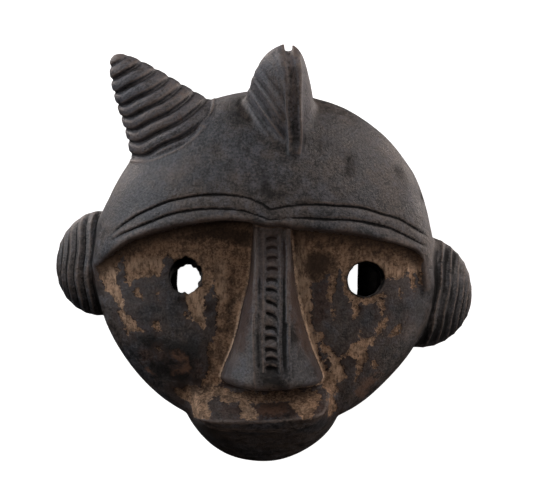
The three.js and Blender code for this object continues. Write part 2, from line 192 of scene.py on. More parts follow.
def cappedBlock(x, y, z, radius, rimRadius, rise, roundness):
    fromX, fromY = x - head["centreX"], y - head["centreY"]
    out = np.hypot(fromX, fromY)
    strays = along(head["swell"], np.degrees(np.arctan2(fromY, fromX)))
    out = out - strays * smoothStep(*head["swellIn"], out)
    up = np.maximum(z - head["wallTop"], 0.0) / rise
    cap = roundedBy(roundness, out / radius, radius, up, rise, 0.005)
    full = head["wallTop"] * head["fullFrom"]
    wall = out - mix(rimRadius, radius, np.clip(z / full, 0.0, 1.0))
    return np.where(z > head["wallTop"], cap, wall)


def arch(line, x):
    sides = []
    for side in ("left", "right"):
        crownX, crownY, bend = line[side]
        sides.append(crownY - bend * (x - crownX) ** 2)
    past = smoothStep(brow["meetsX"] - brow["meetsOver"], brow["meetsX"] + brow["meetsOver"], x)
    return mix(*sides, past) + along(line["strays"], x)


def belowLine(line, x, y):
    slope = (arch(line, x + slopeStep) - arch(line, x - slopeStep)) / (2.0 * slopeStep)
    return (arch(line, x) - y) / np.sqrt(1.0 + slope * slope)


def recess(x, y):
    # how far a place lies inside the sunken face, less than nothing outside it
    rightEdge = along(brow["rightSide"], y)
    leftY = arch(brow["edge"], np.float32(brow["leftX"]))
    leftEdge = brow["leftX"] - brow["leftRun"] * np.maximum(leftY - y, 0.0)
    under = belowLine(brow["edge"], x, y)
    leftRounding, rightRounding = brow["cornerRounding"]
    return softMin(softMin(under, rightEdge - x, rightRounding), x - leftEdge, leftRounding)


def rollCut(x, y, upperLine, lowerLine):
    # a sharp cut along the upper line, from which a roll swells towards the lower one
    below = belowLine(upperLine, x, y)
    gap = np.maximum(belowLine(upperLine, x, arch(lowerLine, x)), brow["leastGap"])
    share = np.clip(below / (gap * brow["rollShare"]), 0.0, 1.0)
    swell = np.sqrt(np.maximum(1.0 - (1.0 - share) ** 2, 0.0))
    wall = smoothStep(*brow["cutWall"], below)
    ends = smoothStep(brow["cutFrom"], brow["cutFrom"] + brow["cutFade"], x)
    ends = ends * (1.0 - smoothStep(brow["cutTo"] - brow["cutFade"], brow["cutTo"], x))
    return brow["cutDepth"] * along(brow["cutShare"], x) * (1.0 - swell) * wall * ends


def headField(x, y, z):
    radius, rimRadius, inset = head["radius"], head["rimRadius"], head["faceInset"]
    dome = cappedBlock(x, y, z, radius, rimRadius, head["domeRise"], head["domeRoundness"])
    dome = dome + rollCut(x, y, brow["upper"], brow["lower"])
    dome = dome + rollCut(x, y, brow["lower"], brow["edge"])
    sunken = recess(x, y)
    ends = smoothStep(*brow["leftEase"], x) + smoothStep(*brow["rightEase"], x)
    dome = softMax(dome, sunken * (1.0 - brow["endEase"] * ends), head["browRounding"])
    below = np.maximum(head["chinFallFrom"] - y, 0.0)
    rise = head["faceRise"] - head["chinFall"] * below * below
    face = cappedBlock(x, y, z, radius - inset, rimRadius - inset, rise, head["faceRoundness"])
    diveFrom, diveTo, dive = head["faceDive"]
    face = face + dive * smoothStep(diveFrom, diveTo, -sunken)
    least, more, height = head["browFillet"]
    fillet = least + more * smoothStep(head["wallTop"], head["wallTop"] + height, z)
    return softMin(dome, face, fillet)


# Nose: a long flat band with wings, a ridge at either side and a ladder of nicks between them

# band and falls are at the root and at the tip, grooves and steps on the left and on the right
nose = {
    "centreX": 1.7, "topY": 10.0, "browY": 6.4, "tipY": -34.8,
    "topZ": 35.4, "tipZ": 42.3, "rootZ": 14.0,
    "band": (4.7, 4.1),
    "wing": (                 # half width down the nose
        (-34.8, 13.4), (-32.0, 13.1), (-28.5, 11.8), (-24.4, 10.1), (-19.9, 8.7), (-14.8, 7.5),
        (-9.7, 6.4), (-5.7, 5.8), (1.9, 5.3), (10.0, 5.0),
    ),
    "shoulderFall": (1.8, 2.7), "wingFall": (5.0, 8.2), "overrun": 1.3, "flareFrom": 0.4,
    "sideRounding": 2.4, "tipRounding": 2.6, "tipCurve": 0.009,
    "grooveAt": 2.95, "grooveWidth": (0.8, 0.72), "grooveDepth": (0.31, 0.27),
    "ridgeAt": 4.0, "ridgeWidth": 0.34, "ridgeLift": 0.42,
    "stepOut": 0.55, "stepY": (-15.3, -17.8), "stepHalf": 0.4, "grooveFollows": 0.4,
    "ridgeFade": 0.7, "carvedTo": -31.0, "carvedRun": 3.0,
    "wornFrom": -27.0, "wornBy": 0.4, "wornHalf": (5.5, 2.5),
    "join": 1.3, "box": ((-13.5, -36.5, 13.0), (17.0, 11.0, 44.0)),
}

ladder = {
    "half": 2.0, "wall": (-0.25, 0.2), "depth": 0.34,
    "topY": 5.3, "topRun": 0.8, "endY": -31.4, "endRun": 1.2,
    "nicks": (                # place down the nose, and how far its right end drops
        (3.9, 0.0), (1.5, 0.02), (-1.1, 0.0), (-3.9, 0.1), (-6.7, 0.12), (-9.3, 0.22),
        (-12.6, 0.42), (-15.6, 0.46), (-18.9, 0.2), (-21.4, 0.05), (-24.4, 0.16),
        (-26.7, 0.1), (-29.1, 0.14),
    ),
    "nickHalf": 1.7, "nickDepth": 0.75, "nickUp": 0.62, "nickWall": 0.45, "nickRamp": 1.5,
    "arch": 0.12, "leftBias": 0.3,
}


def ladderCut(across, y):
    inTrough = 1.0 - smoothStep(*ladder["wall"], np.abs(across) - ladder["half"])
    inTrough = inTrough * smoothStep(ladder["topY"], ladder["topY"] - ladder["topRun"], y)
    inTrough = inTrough * smoothStep(ladder["endY"], ladder["endY"] + ladder["endRun"], y)
    cut = ladder["depth"] * inTrough
    share = across / ladder["nickHalf"]
    ends = np.clip(1.0 - share ** 4, 0.0, 1.0) * (1.0 - ladder["leftBias"] * share)
    for nickY, slant in ladder["nicks"]:
        drop = nickY + ladder["nickUp"] - slant * across - ladder["arch"] * across * across - y
        wall = np.clip(drop / ladder["nickWall"], 0.0, 1.0)
        ramp = np.clip(1.0 - (drop - ladder["nickWall"]) / ladder["nickRamp"], 0.0, 1.0)
        cut = cut + ladder["nickDepth"] * ends * np.minimum(wall, ramp) * (drop > 0)
    return cut


def noseField(x, y, z):
    share = np.clip((nose["topY"] - y) / (nose["topY"] - nose["tipY"]), 0.0, 1.0)
    flare = smoothStep(nose["flareFrom"], 1.0, share)
    band = mix(*nose["band"], flare)
    wing = along(nose["wing"], y)
    fall, shoulder = mix(*nose["wingFall"], flare), mix(*nose["shoulderFall"], flare)
    power = np.log2(fall / shoulder)
    down = (nose["browY"] - y) / (nose["browY"] - nose["tipY"])
    top = nose["topZ"] + (nose["tipZ"] - nose["topZ"]) * down
    across = x - nose["centreX"]
    out = np.abs(across)
    stepY = np.where(across < 0, *nose["stepY"])
    stepped = nose["stepOut"] * smoothStep(nose["stepHalf"], -nose["stepHalf"], y - stepY)
    v = np.clip((out - band) / (wing - band), 0.0, nose["overrun"])
    slope = fall * power * v ** (power - 1.0) / (wing - band)
    # 0.03 is the square of the band's own rise towards the tip
    roof = (z - top + fall * v ** power) / np.sqrt(1.03 + slope * slope)
    carved = smoothStep(nose["carvedTo"], nose["carvedTo"] + nose["carvedRun"], y)
    fromGroove = out - nose["grooveAt"] - nose["grooveFollows"] * stepped
    grooveWidth = np.where(across < 0, *nose["grooveWidth"])
    grooveDepth = carved * np.where(across < 0, *nose["grooveDepth"])
    roof = roof + grooveDepth * np.exp(-((fromGroove / grooveWidth) ** 2))
    fromRidge = out - nose["ridgeAt"] - stepped
    ridgeLift = nose["ridgeLift"] * (1.0 - flare * nose["ridgeFade"])
    roof = roof - ridgeLift * np.exp(-((fromRidge / nose["ridgeWidth"]) ** 2))
    worn = smoothStep(nose["wornFrom"], nose["tipY"], y) * smoothStep(*nose["wornHalf"], out)
    roof = roof + nose["wornBy"] * worn
    roof = roof + ladderCut(across, y)
    body = softMax(roof, out - wing, nose["sideRounding"])
    tipY = nose["tipY"] + nose["tipCurve"] * across * across
    body = softMax(body, tipY - y, nose["tipRounding"])
    return np.maximum(body, nose["rootZ"] - z)


# Mouth: a lip that juts as a shelf, a bevel and a slit under it, and the jaw behind

mouth = {
    "centreX": -0.6,
    "levels": (0.0, 33.4, 35.8),      # the heights that the next five lines are for
    "halfWidth": (22.4, 16.4, 15.8),
    "middleY": (-33.2, -38.5, -38.5),
    "lowY": (-55.7, -45.2, -43.0),
    "squareness": (2.0, 3.2, 3.4),
    "tilt": (0.0, 0.045, 0.045),
    "shelfTopY": -35.5, "shelfTopZ": 26.5, "shelfEndZ": 36.3, "shelfHollow": 0.35,
    "edgeRounding": 0.9, "undercut": 0.93,
    "slitZ": 32.3, "slitHalf": 0.5, "slitDepth": 1.1, "slitEnds": (0.3, 0.8),
    "join": 2.0, "box": ((-24.5, -57.0, -2.0), (23.5, -30.0, 38.0)),
}


def mouthField(x, y, z):
    half, middleY, lowY, squareness, tilt = (
        np.interp(z, mouth["levels"], mouth[key]).astype(np.float32)
        for key in ("halfWidth", "middleY", "lowY", "squareness", "tilt")
    )
    across = x - mouth["centreX"]
    leaned = y - tilt * across
    side, fall = np.abs(across) / half, middleY - lowY
    low = np.maximum(middleY - leaned, 0.0) / fall
    wall = roundedBy(squareness, side, half, low, fall, 0.01) * mouth["undercut"]
    slit = np.exp(-(((z - mouth["slitZ"]) / mouth["slitHalf"]) ** 2))
    wall = wall + mouth["slitDepth"] * slit * smoothStep(*mouth["slitEnds"], low)
    run = mouth["lowY"][2] - mouth["shelfTopY"]
    rise = mouth["shelfEndZ"] - mouth["shelfTopZ"]
    share = np.clip((leaned - mouth["shelfTopY"]) / run, 0.0, 1.0)
    shelfZ = mouth["shelfTopZ"] + rise * (leaned - mouth["shelfTopY"]) / run
    shelfZ = shelfZ - mouth["shelfHollow"] * np.sin(math.pi * share)
    shelf = (z - shelfZ) / math.hypot(1.0, rise / run)
    return softMax(wall, shelf, mouth["edgeRounding"])


# Hair: a ribbed horn, a ribbed crest with a keel, and a bun at either side


def belowTip(piece, reach):
    # the way down from the tip, and its share of the piece's height
    h = piece["height"] - reach
    return h, np.clip(h / piece["height"], leastShare, 1.0)


def ended(piece, body, h):
    # rounds the tip and ends the foot inside the head
    body = softMax(body, -h, piece["tipRounding"])
    return np.maximum(body, h - piece["height"] - piece["buried"])


horn = {
    "foot": (-23.4, 31.8, 19.5), "axisInPlan": 119.6, "axisUp": 13,
    "height": 25.1, "radius": 12.3, "taper": 0.6, "flare": 1.0, "flarePower": 6, "drift": 0.16,
    "buried": 9.0, "tipRounding": 1.4,
    "ribPitch": 3.3, "ribPhase": 0.71, "ribDepth": 1.05, "ribSway": 0.25, "ribsEnd": (0.8, 3.2),
    "edgeShare": (0.55, 0.3), "edgeSides": (-3.0, 3.0), "facing": (0.1, 0.65),
    "ribShape": (             # how deep each rib is cut, by share of its pitch
        (0.0, 1.0), (0.1, 0.25), (0.2, 0.02), (0.4, 0.0), (0.64, 0.05), (0.88, 0.95), (1.0, 1.0),
    ),
    "footLip": (0.75, 0.3, 0.25),     # a low lip round the foot: how far out, width and height
    "join": 0.7, "box": ((-54.0, 20.0, 3.0), (-8.0, 55.0, 38.0)),
}


def hornField(x, y, z):
    fx, fy, fz = horn["foot"]
    reach, aside = turned(x - fx, y - fy, horn["axisInPlan"])
    reach, above = turned(reach, z - fz, horn["axisUp"])
    aside = -aside + horn["drift"] * reach
    h, share = belowTip(horn, reach)
    radius = horn["radius"] * share ** horn["taper"]
    radius = radius + horn["flare"] * share ** horn["flarePower"]
    slope = horn["taper"] * horn["radius"] / horn["height"] * share ** (horn["taper"] - 1.0)
    out = np.hypot(aside, above)
    bent = h + horn["ribSway"] * np.sin(aside / 2.3 + above / 3.1)
    rib = bent / horn["ribPitch"] - horn["ribPhase"]
    cut = along(horn["ribShape"], rib - np.floor(rib))
    facing = smoothStep(*horn["facing"], np.abs(above) / np.maximum(out, 0.1))
    edge = mix(*horn["edgeShare"], smoothStep(*horn["edgeSides"], aside))
    cut = cut * horn["ribDepth"] * mix(edge, 1.0, facing) * smoothStep(*horn["ribsEnd"], h)
    return ended(horn, (out - radius) / np.sqrt(1.0 + slope * slope) + cut, h)


crest = {
    "foot": (2.8, 35.2, 25.6), "axisUp": 35, "height": 20.4,
    "leftWidth": 12.0, "rightWidth": 7.2, "lean": 2.7, "halfDepth": 12.7,
    "taper": 0.33, "drift": -0.1, "buried": 7.0, "tipRounding": 2.4,
    "roundness": 1.5, "ribFall": 54, "flankEnd": (5.0, 6.0), "edgeShare": 0.35, "facing": 0.45,
    "ribs": (                 # how deep the left flank is cut, by place across the ribs
        (18.3, 0.0), (19.0, 0.6), (19.8, 0.5), (20.8, 0.0), (21.7, 0.75), (22.4, 0.6),
        (23.4, 0.0), (24.4, 0.55), (25.4, 0.05), (26.9, 0.4), (27.4, 0.1), (28.4, 0.0),
    ),
    "join": 1.9, "box": ((-10.0, 22.0, 15.0), (16.0, 55.0, 45.0)),
}


def crestField(x, y, z):
    fx, fy, fz = crest["foot"]
    reach, above = turned(y - fy, z - fz, crest["axisUp"])
    h, share = belowTip(crest, reach)
    power = crest["roundness"]
    radius = share ** crest["taper"]
    aside = x - fx + crest["drift"] * reach - crest["lean"] * radius
    width = np.where(aside < 0, crest["leftWidth"], crest["rightWidth"])
    size = np.abs(aside / width) ** power + np.abs(above / crest["halfDepth"]) ** power
    size = size ** (1.0 / power)
    slope = crest["taper"] / share ** (1.0 - crest["taper"]) * width / crest["height"]
    body = (size - radius) * width / np.sqrt(1.0 + slope * slope)
    across = turned(x, y, -crest["ribFall"])[1]
    left = 1.0 - smoothStep(*crest["flankEnd"], x)
    facing = smoothStep(0.0, crest["facing"], above / crest["halfDepth"])
    body = body + left * mix(crest["edgeShare"], 1.0, facing) * along(crest["ribs"], across)
    return ended(crest, body, h)


keel = {
    "profile": (
        (22.6, 35.5), (25.0, 38.0), (29.0, 39.5), (33.0, 40.5), (38.0, 41.1), (42.0, 41.4),
        (47.4, 41.0), (50.1, 39.2), (51.5, 36.8), (51.9, 33.6), (48.0, 29.0), (30.0, 24.0),
    ),
    "leftEdge": ((22.0, 6.6), (26.0, 5.9), (34.0, 5.6), (38.5, 5.2), (48.5, 3.7), (52.5, 2.8)),
    "rightEdge": ((22.0, 7.6), (25.0, 9.0), (30.0, 9.4), (46.0, 9.5), (50.0, 9.2), (52.2, 7.2)),
    "edgeRounding": 1.1,
    "join": 0.9, "box": ((2.5, 20.0, 22.0), (11.5, 55.0, 44.0)),
}
trough = {
    "middleX": ((24.0, 7.1), (34.0, 7.0), (38.0, 7.3), (45.0, 7.1), (50.0, 6.2), (53.0, 5.9)),
    "half": (
        (24.5, 1.6), (28.0, 1.9), (34.0, 1.9), (38.0, 1.5), (45.0, 1.3), (50.0, 1.1), (53.0, 1.0),
    ),
    "depth": (
        (23.0, -0.8), (25.0, -0.1), (27.5, 0.7), (30.0, 0.9), (37.0, 0.8), (41.0, 0.5), (53.0, 0.4),
    ),
    "rounding": 0.9,
    "join": 0.4, "box": ((3.5, 24.5, 26.0), (10.5, 56.0, 45.0)),
}


def insideProfile(y, z, points):
    # distance to a closed outline in the plane of Y and Z, less than nothing inside it
    nearest = np.full(np.broadcast(y, z).shape, np.inf, np.float32)
    crossings = np.zeros(nearest.shape, bool)
    for (ay, az), (by, bz) in zip(points, points[1:] + points[:1]):
        runY, runZ = by - ay, bz - az
        t = np.clip(((y - ay) * runY + (z - az) * runZ) / (runY**2 + runZ**2), 0.0, 1.0)
        nearest = np.minimum(nearest, (y - ay - t * runY) ** 2 + (z - az - t * runZ) ** 2)
        spans = (az > z) != (bz > z)
        if bz != az:
            crossings ^= spans & (y < runY * (z - az) / runZ + ay)
    return np.where(crossings, -1.0, 1.0) * np.sqrt(nearest)


def keelField(x, y, z):
    profile = insideProfile(y, z, keel["profile"])
    left, right = along(keel["leftEdge"], y), along(keel["rightEdge"], y)
    aside = np.abs(x - (left + right) / 2.0) - (right - left) / 2.0
    return softMax(profile, aside, keel["edgeRounding"])


def troughField(x, y, z):
    profile = insideProfile(y, z, keel["profile"])
    aside = np.abs(x - along(trough["middleX"], y)) - along(trough["half"], y)
    return softMax(aside, -profile - along(trough["depth"], y), trough["rounding"])


buns = (                      # the left one and the right one
    {"centre": (-43.2, -3.0, 11.4), "turn": 180, "dip": 10,
     "radius": 13.8, "depth": 9.2, "reach": 11.6, "ribDegrees": 15.0, "crestAt": 70.0,
     "fluted": 0.45, "join": 0.8, "box": ((-56.5, -18.0, -2.0), (-36.0, 13.0, 28.0))},
    {"centre": (40.8, -10.5, 11.4), "turn": -9.5, "dip": 10,
     "radius": 14.8, "depth": 9.4, "reach": 13.7, "ribDegrees": 12.0, "crestAt": 65.0,
     "fluted": 0.9, "join": 0.8, "box": ((33.0, -28.0, -2.0), (56.5, 6.0, 28.0))},
)
bunShape = {
    "buried": 6.0, "ribDepth": 0.95, "ribSway": 1.0,
    "edgeShare": 0.22, "facing": (0.05, 0.55), "ribsFrom": (0.1, 0.35),
}


def bunField(bun, x, y, z):
    cx, cy, cz = bun["centre"]
    forward, aside = turned(x - cx, y - cy, bun["turn"])
    forward, above = turned(forward, z - cz, -bun["dip"])
    past = np.maximum(forward, 0.0) / bun["reach"]
    level = np.hypot(aside / bun["radius"], above / bun["depth"])
    size = np.hypot(level, past)
    steepness = np.sqrt(
        (aside / bun["radius"] ** 2) ** 2
        + (above / bun["depth"] ** 2) ** 2
        + (past / bun["reach"]) ** 2
    ) / np.maximum(size, 0.01)
    body = (size - 1.0) / np.maximum(steepness, 0.01)
    # ribs at equal turns from the bun's pole, fine crests with hollow flutes between them
    around = np.degrees(np.arctan2(level, forward / bun["reach"]))
    around = around + bunShape["ribSway"] * np.sin(aside / 2.1)
    rib = (around - bun["crestAt"]) / bun["ribDegrees"] + 0.5
    fromCrest = np.abs(2.0 * (rib - np.floor(rib)) - 1.0)
    roll = np.sqrt(np.maximum(1.0 - fromCrest ** 2, 0.0))
    flute = 1.0 - np.sqrt(np.maximum(1.0 - (1.0 - fromCrest) ** 2, 0.0))
    cut = bunShape["ribDepth"] * (1.0 - mix(roll, flute, bun["fluted"]))
    facing = smoothStep(*bunShape["facing"], np.abs(above) / bun["depth"])
    cut = cut * mix(bunShape["edgeShare"], 1.0, facing) * smoothStep(*bunShape["ribsFrom"], level)
    return np.maximum(body + cut, -forward - bunShape["buried"])


# Hollow back and eyes

hollow = {
    "centreX": 0.85, "centreY": -3.5, "halfWidth": 25.2, "halfLength": 34.5,
    "squareness": 2.5, "depth": 22.5, "roundness": 3.0,
    "join": 1.6, "box": ((-27.0, -40.5, -2.0), (28.5, 33.5, 24.5)),
}

eyes = (
    {"x": -20.5, "y": -5.9, "halfWidth": 3.95, "halfHeight": 4.35, "tilt": 7, "lumps": 0.06,
     "join": 0.5, "box": ((-26.5, -13.5, 11.0), (-14.0, 2.0, 44.0))},
    {"x": 25.8, "y": -7.0, "halfWidth": 4.6, "halfHeight": 4.4, "tilt": 0, "lumps": 0.015,
     "join": 0.5, "box": ((19.5, -13.0, 11.0), (32.0, -1.0, 44.0))},
)
# the eyes are cut down to this floor, inside the hollow, and measured at the height of the face
eyePit = {"floor": 13.0, "floorRounding": 0.3, "measuredAt": 29.5}


def hollowField(x, y, z):
    across = np.abs(x - hollow["centreX"]) / hollow["halfWidth"]
    lengthways = np.abs(y - hollow["centreY"]) / hollow["halfLength"]
    power, roundness = hollow["squareness"], hollow["roundness"]
    plan = np.maximum(across ** power + lengthways ** power, 1e-6) ** (1.0 / power)
    up = np.maximum(z, 0.0) / hollow["depth"]
    size = (plan ** roundness + up ** roundness) ** (1.0 / roundness)
    return (size - 1.0) * mix(hollow["halfWidth"], hollow["depth"], np.clip(up, 0.0, 1.0))


def eyeField(eye, x, y, z):
    middleY = eye["y"] + (z - eyePit["measuredAt"]) * math.tan(math.radians(eye["tilt"]))
    across, upward = (x - eye["x"]) / eye["halfWidth"], (y - middleY) / eye["halfHeight"]
    turn = np.arctan2(upward, across)
    rim = 1.0 + eye["lumps"] * (
        np.sin(5 * turn + 0.6) * 0.5 + np.sin(11 * turn + z / 3.0) * 0.5 + np.sin(17 * turn) * 0.35
    ) * smoothStep(-1.0, 0.0, np.cos(turn))
    pit = (np.hypot(across, upward) - rim) * eye["halfWidth"]
    return softMax(pit, eyePit["floor"] - z, eyePit["floorRounding"])


# The order of work: what is added to the head and what is cut away, each inside its own box


def step(shape, piece, side=1):
    return shape, side, piece["join"], piece["box"]


steps = [
    step(noseField, nose), step(mouthField, mouth), step(hornField, horn),
    step(crestField, crest), step(keelField, keel), step(troughField, trough, -1),
    *(step(partial(bunField, bun), bun) for bun in buns),
    step(hollowField, hollow, -1),
    *(step(partial(eyeField, eye), eye, -1) for eye in eyes),
]
rimSoftness = 0.9             # how softly the carving ends at the flat rim of the back


def pick(place, box):
    # the share of a grid, or of loose points, that lies in a box
    if place[0].ndim == 1:
        inside = np.ones(len(place[0]), bool)
        for values, low, high in zip(place, *box):
            inside &= (values > low) & (values < high)
        return inside, tuple(values[inside] for values in place)
    cuts = []
    for values, low, high in zip(place, *box):
        line = values.ravel()
        cuts.append(slice(int(np.searchsorted(line, low)), int(np.searchsorted(line, high))))
    parts = (place[0][cuts[0]], place[1][:, cuts[1]], place[2][:, :, cuts[2]])
    return tuple(cuts), parts


def carve(place):
    field = headField(*byHand(*place))
    for shape, side, reach, box in steps:
        where, part = pick(place, box)
        tool = shape(*byHand(*part))
        if side > 0:
            field[where] = softMin(field[where], tool, reach)
        else:
            field[where] = softMax(field[where], -tool, reach)
    return softMax(field, -place[2] + np.zeros_like(field), rimSoftness)


# Roughness of the surface: seeded noise, knife facets in the hollow, crust and clay

latticeSize = 32
randomNumbers = np.random.default_rng(9)
lattice = randomNumbers.random((latticeSize,) * 3).astype(np.float32) * 2.0 - 1.0


def between(values, base, t):
    # the mean of the eight net values round each place, weighed by how near they are
    total = np.zeros(len(base))
    for corner in product((0, 1), repeat=3):
        index = (base + np.array(corner)) % values.shape
        total += np.prod(np.where(corner, t, 1.0 - t), axis=1) * values[tuple(index.T)]
    return total


def noise(points, size, shift=0.0):
    spots = points / size + shift
    base = np.floor(spots).astype(np.int64)
    t = spots - base
    return between(lattice, base, t * t * (3.0 - 2.0 * t))


# Where brown clay shows on the face. Each patch is a chain of rounds (x, y, radius), and the
# black crust lies over the clay in patches of its own.
clay = {
    "leftEdge": ((-40.6, -2.6, 2.7), (-40.5, -5.2, 2.7), (-39.4, -8.0, 2.0), (-38.1, -10.9, 1.3),
                 (-37.1, -12.9, 0.7), (-36.8, -14.5, 0.4)),
    "leftDrip": ((-36.9, -15.4, 0.8), (-35.1, -17.5, 1.5), (-33.6, -19.1, 1.1), (-31.6, -19.8, 0.4)),
    "leftDripTail": ((-35.5, -18.9, 1.0), (-35.1, -21.6, 0.3)),
    "leftSpot": ((-32.7, -9.0, 0.35), (-32.6, -10.7, 0.85), (-31.5, -12.3, 0.35)),
    "leftCheekDot": ((-28.0, -18.8, 0.8), (-27.3, -19.4, 0.75)),
    "leftRedDot": ((-27.2, -10.8, 0.25), (-27.1, -11.7, 0.2)),
    "leftLowDot": ((-27.5, -24.9, 0.4), (-27.1, -25.2, 0.35)),
    "tongue": ((-18.0, -10.6, 2.6), (-17.6, -14.2, 2.1), (-16.6, -17.2, 1.1), (-15.9, -19.8, 0.3)),
    "tongueDot": ((-20.3, -15.4, 0.3), (-19.6, -16.6, 0.4)),
    "eyeSide": ((-15.4, -0.5, 2.6), (-14.6, -6.0, 1.9), (-15.4, -9.8, 1.3)),
    "noseSide": ((-8.2, 0.0, 4.8), (-8.4, -10.0, 4.4), (-9.0, -18.0, 3.6), (-10.6, -26.0, 2.6),
                 (-12.4, -33.0, 1.6)),
    "besideWing": ((-13.2, -24.2, 1.7), (-12.6, -30.5, 1.9), (-14.4, -34.6, 1.6)),
    "mouthLeft": ((-22.6, -35.4, 1.0), (-17.4, -37.2, 2.3), (-16.2, -41.2, 2.4)),
    "underNose": ((-15.0, -36.2, 1.9), (-8.0, -36.8, 1.3), (2.0, -37.4, 1.2), (13.0, -36.6, 1.4)),
    "lipMiddle": ((-5.6, -38.8, 1.2), (-4.2, -41.6, 2.1)),
    "lipRight": ((7.6, -38.8, 1.3), (10.2, -40.4, 2.1), (11.8, -39.2, 1.6)),
    "mouthRight": ((17.0, -37.6, 1.2), (17.2, -40.4, 1.7)),
    "rightEdge": ((39.6, -1.0, 0.6), (39.9, -4.5, 0.7), (40.0, -8.2, 0.35)),
    "rightDrip": ((37.9, -4.8, 0.8), (38.0, -8.5, 0.45), (38.0, -9.9, 0.25)),
    "rightDash": ((34.8, -9.4, 0.35), (34.8, -11.3, 0.3)),
    "farDash": ((36.9, -16.7, 0.3), (36.8, -17.6, 0.25)),
    "eyeCollar": ((19.8, -5.7, 0.4), (20.5, -9.3, 0.7), (22.4, -11.5, 1.0), (24.9, -12.4, 0.9),
                  (28.0, -12.1, 0.75), (30.2, -10.6, 0.8)),
    "collarDrip": ((23.3, -12.9, 1.2), (23.6, -15.2, 0.7), (22.7, -17.0, 0.3)),
    "collarRight": ((29.5, -12.4, 0.75), (29.6, -15.6, 0.4)),
    "belowCollar": ((31.3, -16.7, 0.45), (30.0, -18.3, 1.1), (29.0, -20.7, 0.7)),
    "cheekPatch": ((34.6, -19.5, 0.8), (33.6, -20.9, 1.0), (32.4, -21.9, 0.4)),
    "cheekIsland": ((27.2, -22.9, 1.1), (23.8, -24.2, 2.0), (22.8, -25.7, 1.4)),
    "islandFoot": ((24.9, -26.8, 1.4), (24.6, -29.3, 0.9), (23.6, -32.5, 0.3)),
    "islandHook": ((24.6, -21.1, 0.3), (24.9, -22.7, 0.6)),
    "islandThread": ((21.6, -25.8, 0.35), (18.8, -28.3, 0.3)),
    "rightRedDot": ((28.1, -28.2, 0.5), (28.5, -28.9, 0.45)),
    "streak": ((18.4, -2.6, 0.9), (17.3, -6.4, 0.8), (16.9, -9.4, 0.9), (16.7, -11.6, 0.7)),
    "streakTail": ((17.3, -13.9, 0.5), (17.6, -16.6, 0.3)),
    "noseRight": ((8.4, 1.2, 2.2), (9.0, -7.0, 2.6), (10.0, -14.0, 2.0), (11.2, -20.4, 1.1),
                  (13.0, -25.6, 0.9), (14.6, -28.2, 0.7)),
    "noseRightDot": ((13.9, -21.3, 0.8), (14.1, -22.3, 0.7)),
    "wingRight": ((14.6, -23.2, 0.5), (16.7, -25.7, 0.8), (18.2, -28.3, 1.1), (18.7, -31.4, 2.1)),
    "wingBlob": ((15.2, -29.0, 0.8), (16.2, -33.0, 1.6), (17.4, -35.0, 1.5)),
}
crust = {
    "leftNotch": ((-36.8, -0.9, 0.5), (-36.7, -3.7, 0.8), (-36.9, -7.3, 1.1)),
    "smudgeFoot": ((12.6, -9.4, 1.2), (14.0, -14.0, 1.4)),
    "eyeShade": ((-24.6, -2.2, 1.2), (-25.2, -5.2, 1.7)),
    "bar": ((-13.7, -11.6, 1.4), (-13.8, -20.4, 1.6)),
    "lipLeft": ((-12.4, -39.0, 1.7), (-9.2, -40.8, 2.2)),
    "lipFleck": ((15.2, -38.6, 1.3), (14.6, -41.4, 1.4)),
}
# dark stains on the clay and patina, and painted shade under the brow, under the tip of the nose and
# on the buns' shaded sides; and patches where a thin red brown film shows through the black
stainAndShade = {
    "smudge": ((14.0, -2.7, 3.5), (13.6, -3.1, 3.5)),
    "besideEye": ((-12.9, -3.0, 0.2), (-12.3, -6.4, 0.3)),
    "besideNose": ((-8.4, -4.0, 0.2), (-8.9, -12.0, 0.4), (-10.0, -20.0, 0.2)),
    # painted shade under the right brow
    "underRightBrow": ((9.0, 4.4, 0.2), (20.0, 2.4, 0.3), (27.0, 0.8, 0.0), (35.0, -1.4, -0.5)),
    "cheekRight": ((35.0, -13.6, 0.0), (31.6, -25.0, 0.2)),
    "lowLeft": ((-13.6, -25.2, 0.5), (-14.2, -29.0, 0.6)),
    # painted shade under the middle of the brow
    "browMiddle": ((-26.0, 3.4, 0.3), (-16.0, 5.0, 1.6), (-5.6, 4.4, 2.4)),
    "besideMouth": ((-22.6, -35.2, 0.6), (-15.0, -35.6, 0.8)),
    "cheekLow": ((-32.0, -22.8, 1.4), (-24.0, -24.2, 2.0), (-17.4, -25.2, 1.6)),
    "cheekFoot": ((-29.0, -29.0, 1.4), (-20.0, -33.4, 1.4)),
    "noseTip": ((1.8, -28.8, 1.9), (1.6, -32.8, 3.0)),
    "noseBandLow": ((-1.8, -20.6, 0.1), (-1.4, -27.4, 0.9), (-0.6, -31.6, 1.4)),
    # the next two chains: painted shade on the shaded sides of the buns
    "bunRight": ((46.0, -4.0, -0.4), (43.6, -12.0, 0.2), (49.0, -12.0, 0.0), (45.6, -19.0, 0.6),
                 (41.0, -21.0, 0.4)),
    "bunLeft": ((-48.6, -10.4, -0.3), (-43.6, -13.4, 0.4)),
    "keelFoot": ((7.2, 35.0, 0.4), (7.3, 26.0, 0.8)),
    "keelToe": ((7.6, 24.0, 0.3), (4.0, 22.0, -0.3)),
    "aboveBrow": ((-22.0, 17.0, -0.6), (-10.0, 17.6, -0.5), (4.0, 14.6, -0.6), (20.0, 14.4, -0.6)),
    # painted shade under the tip of the nose
    "underNose": ((-9.0, -35.9, 0.3), (2.0, -36.4, 0.6), (12.0, -35.9, 0.3)),
}
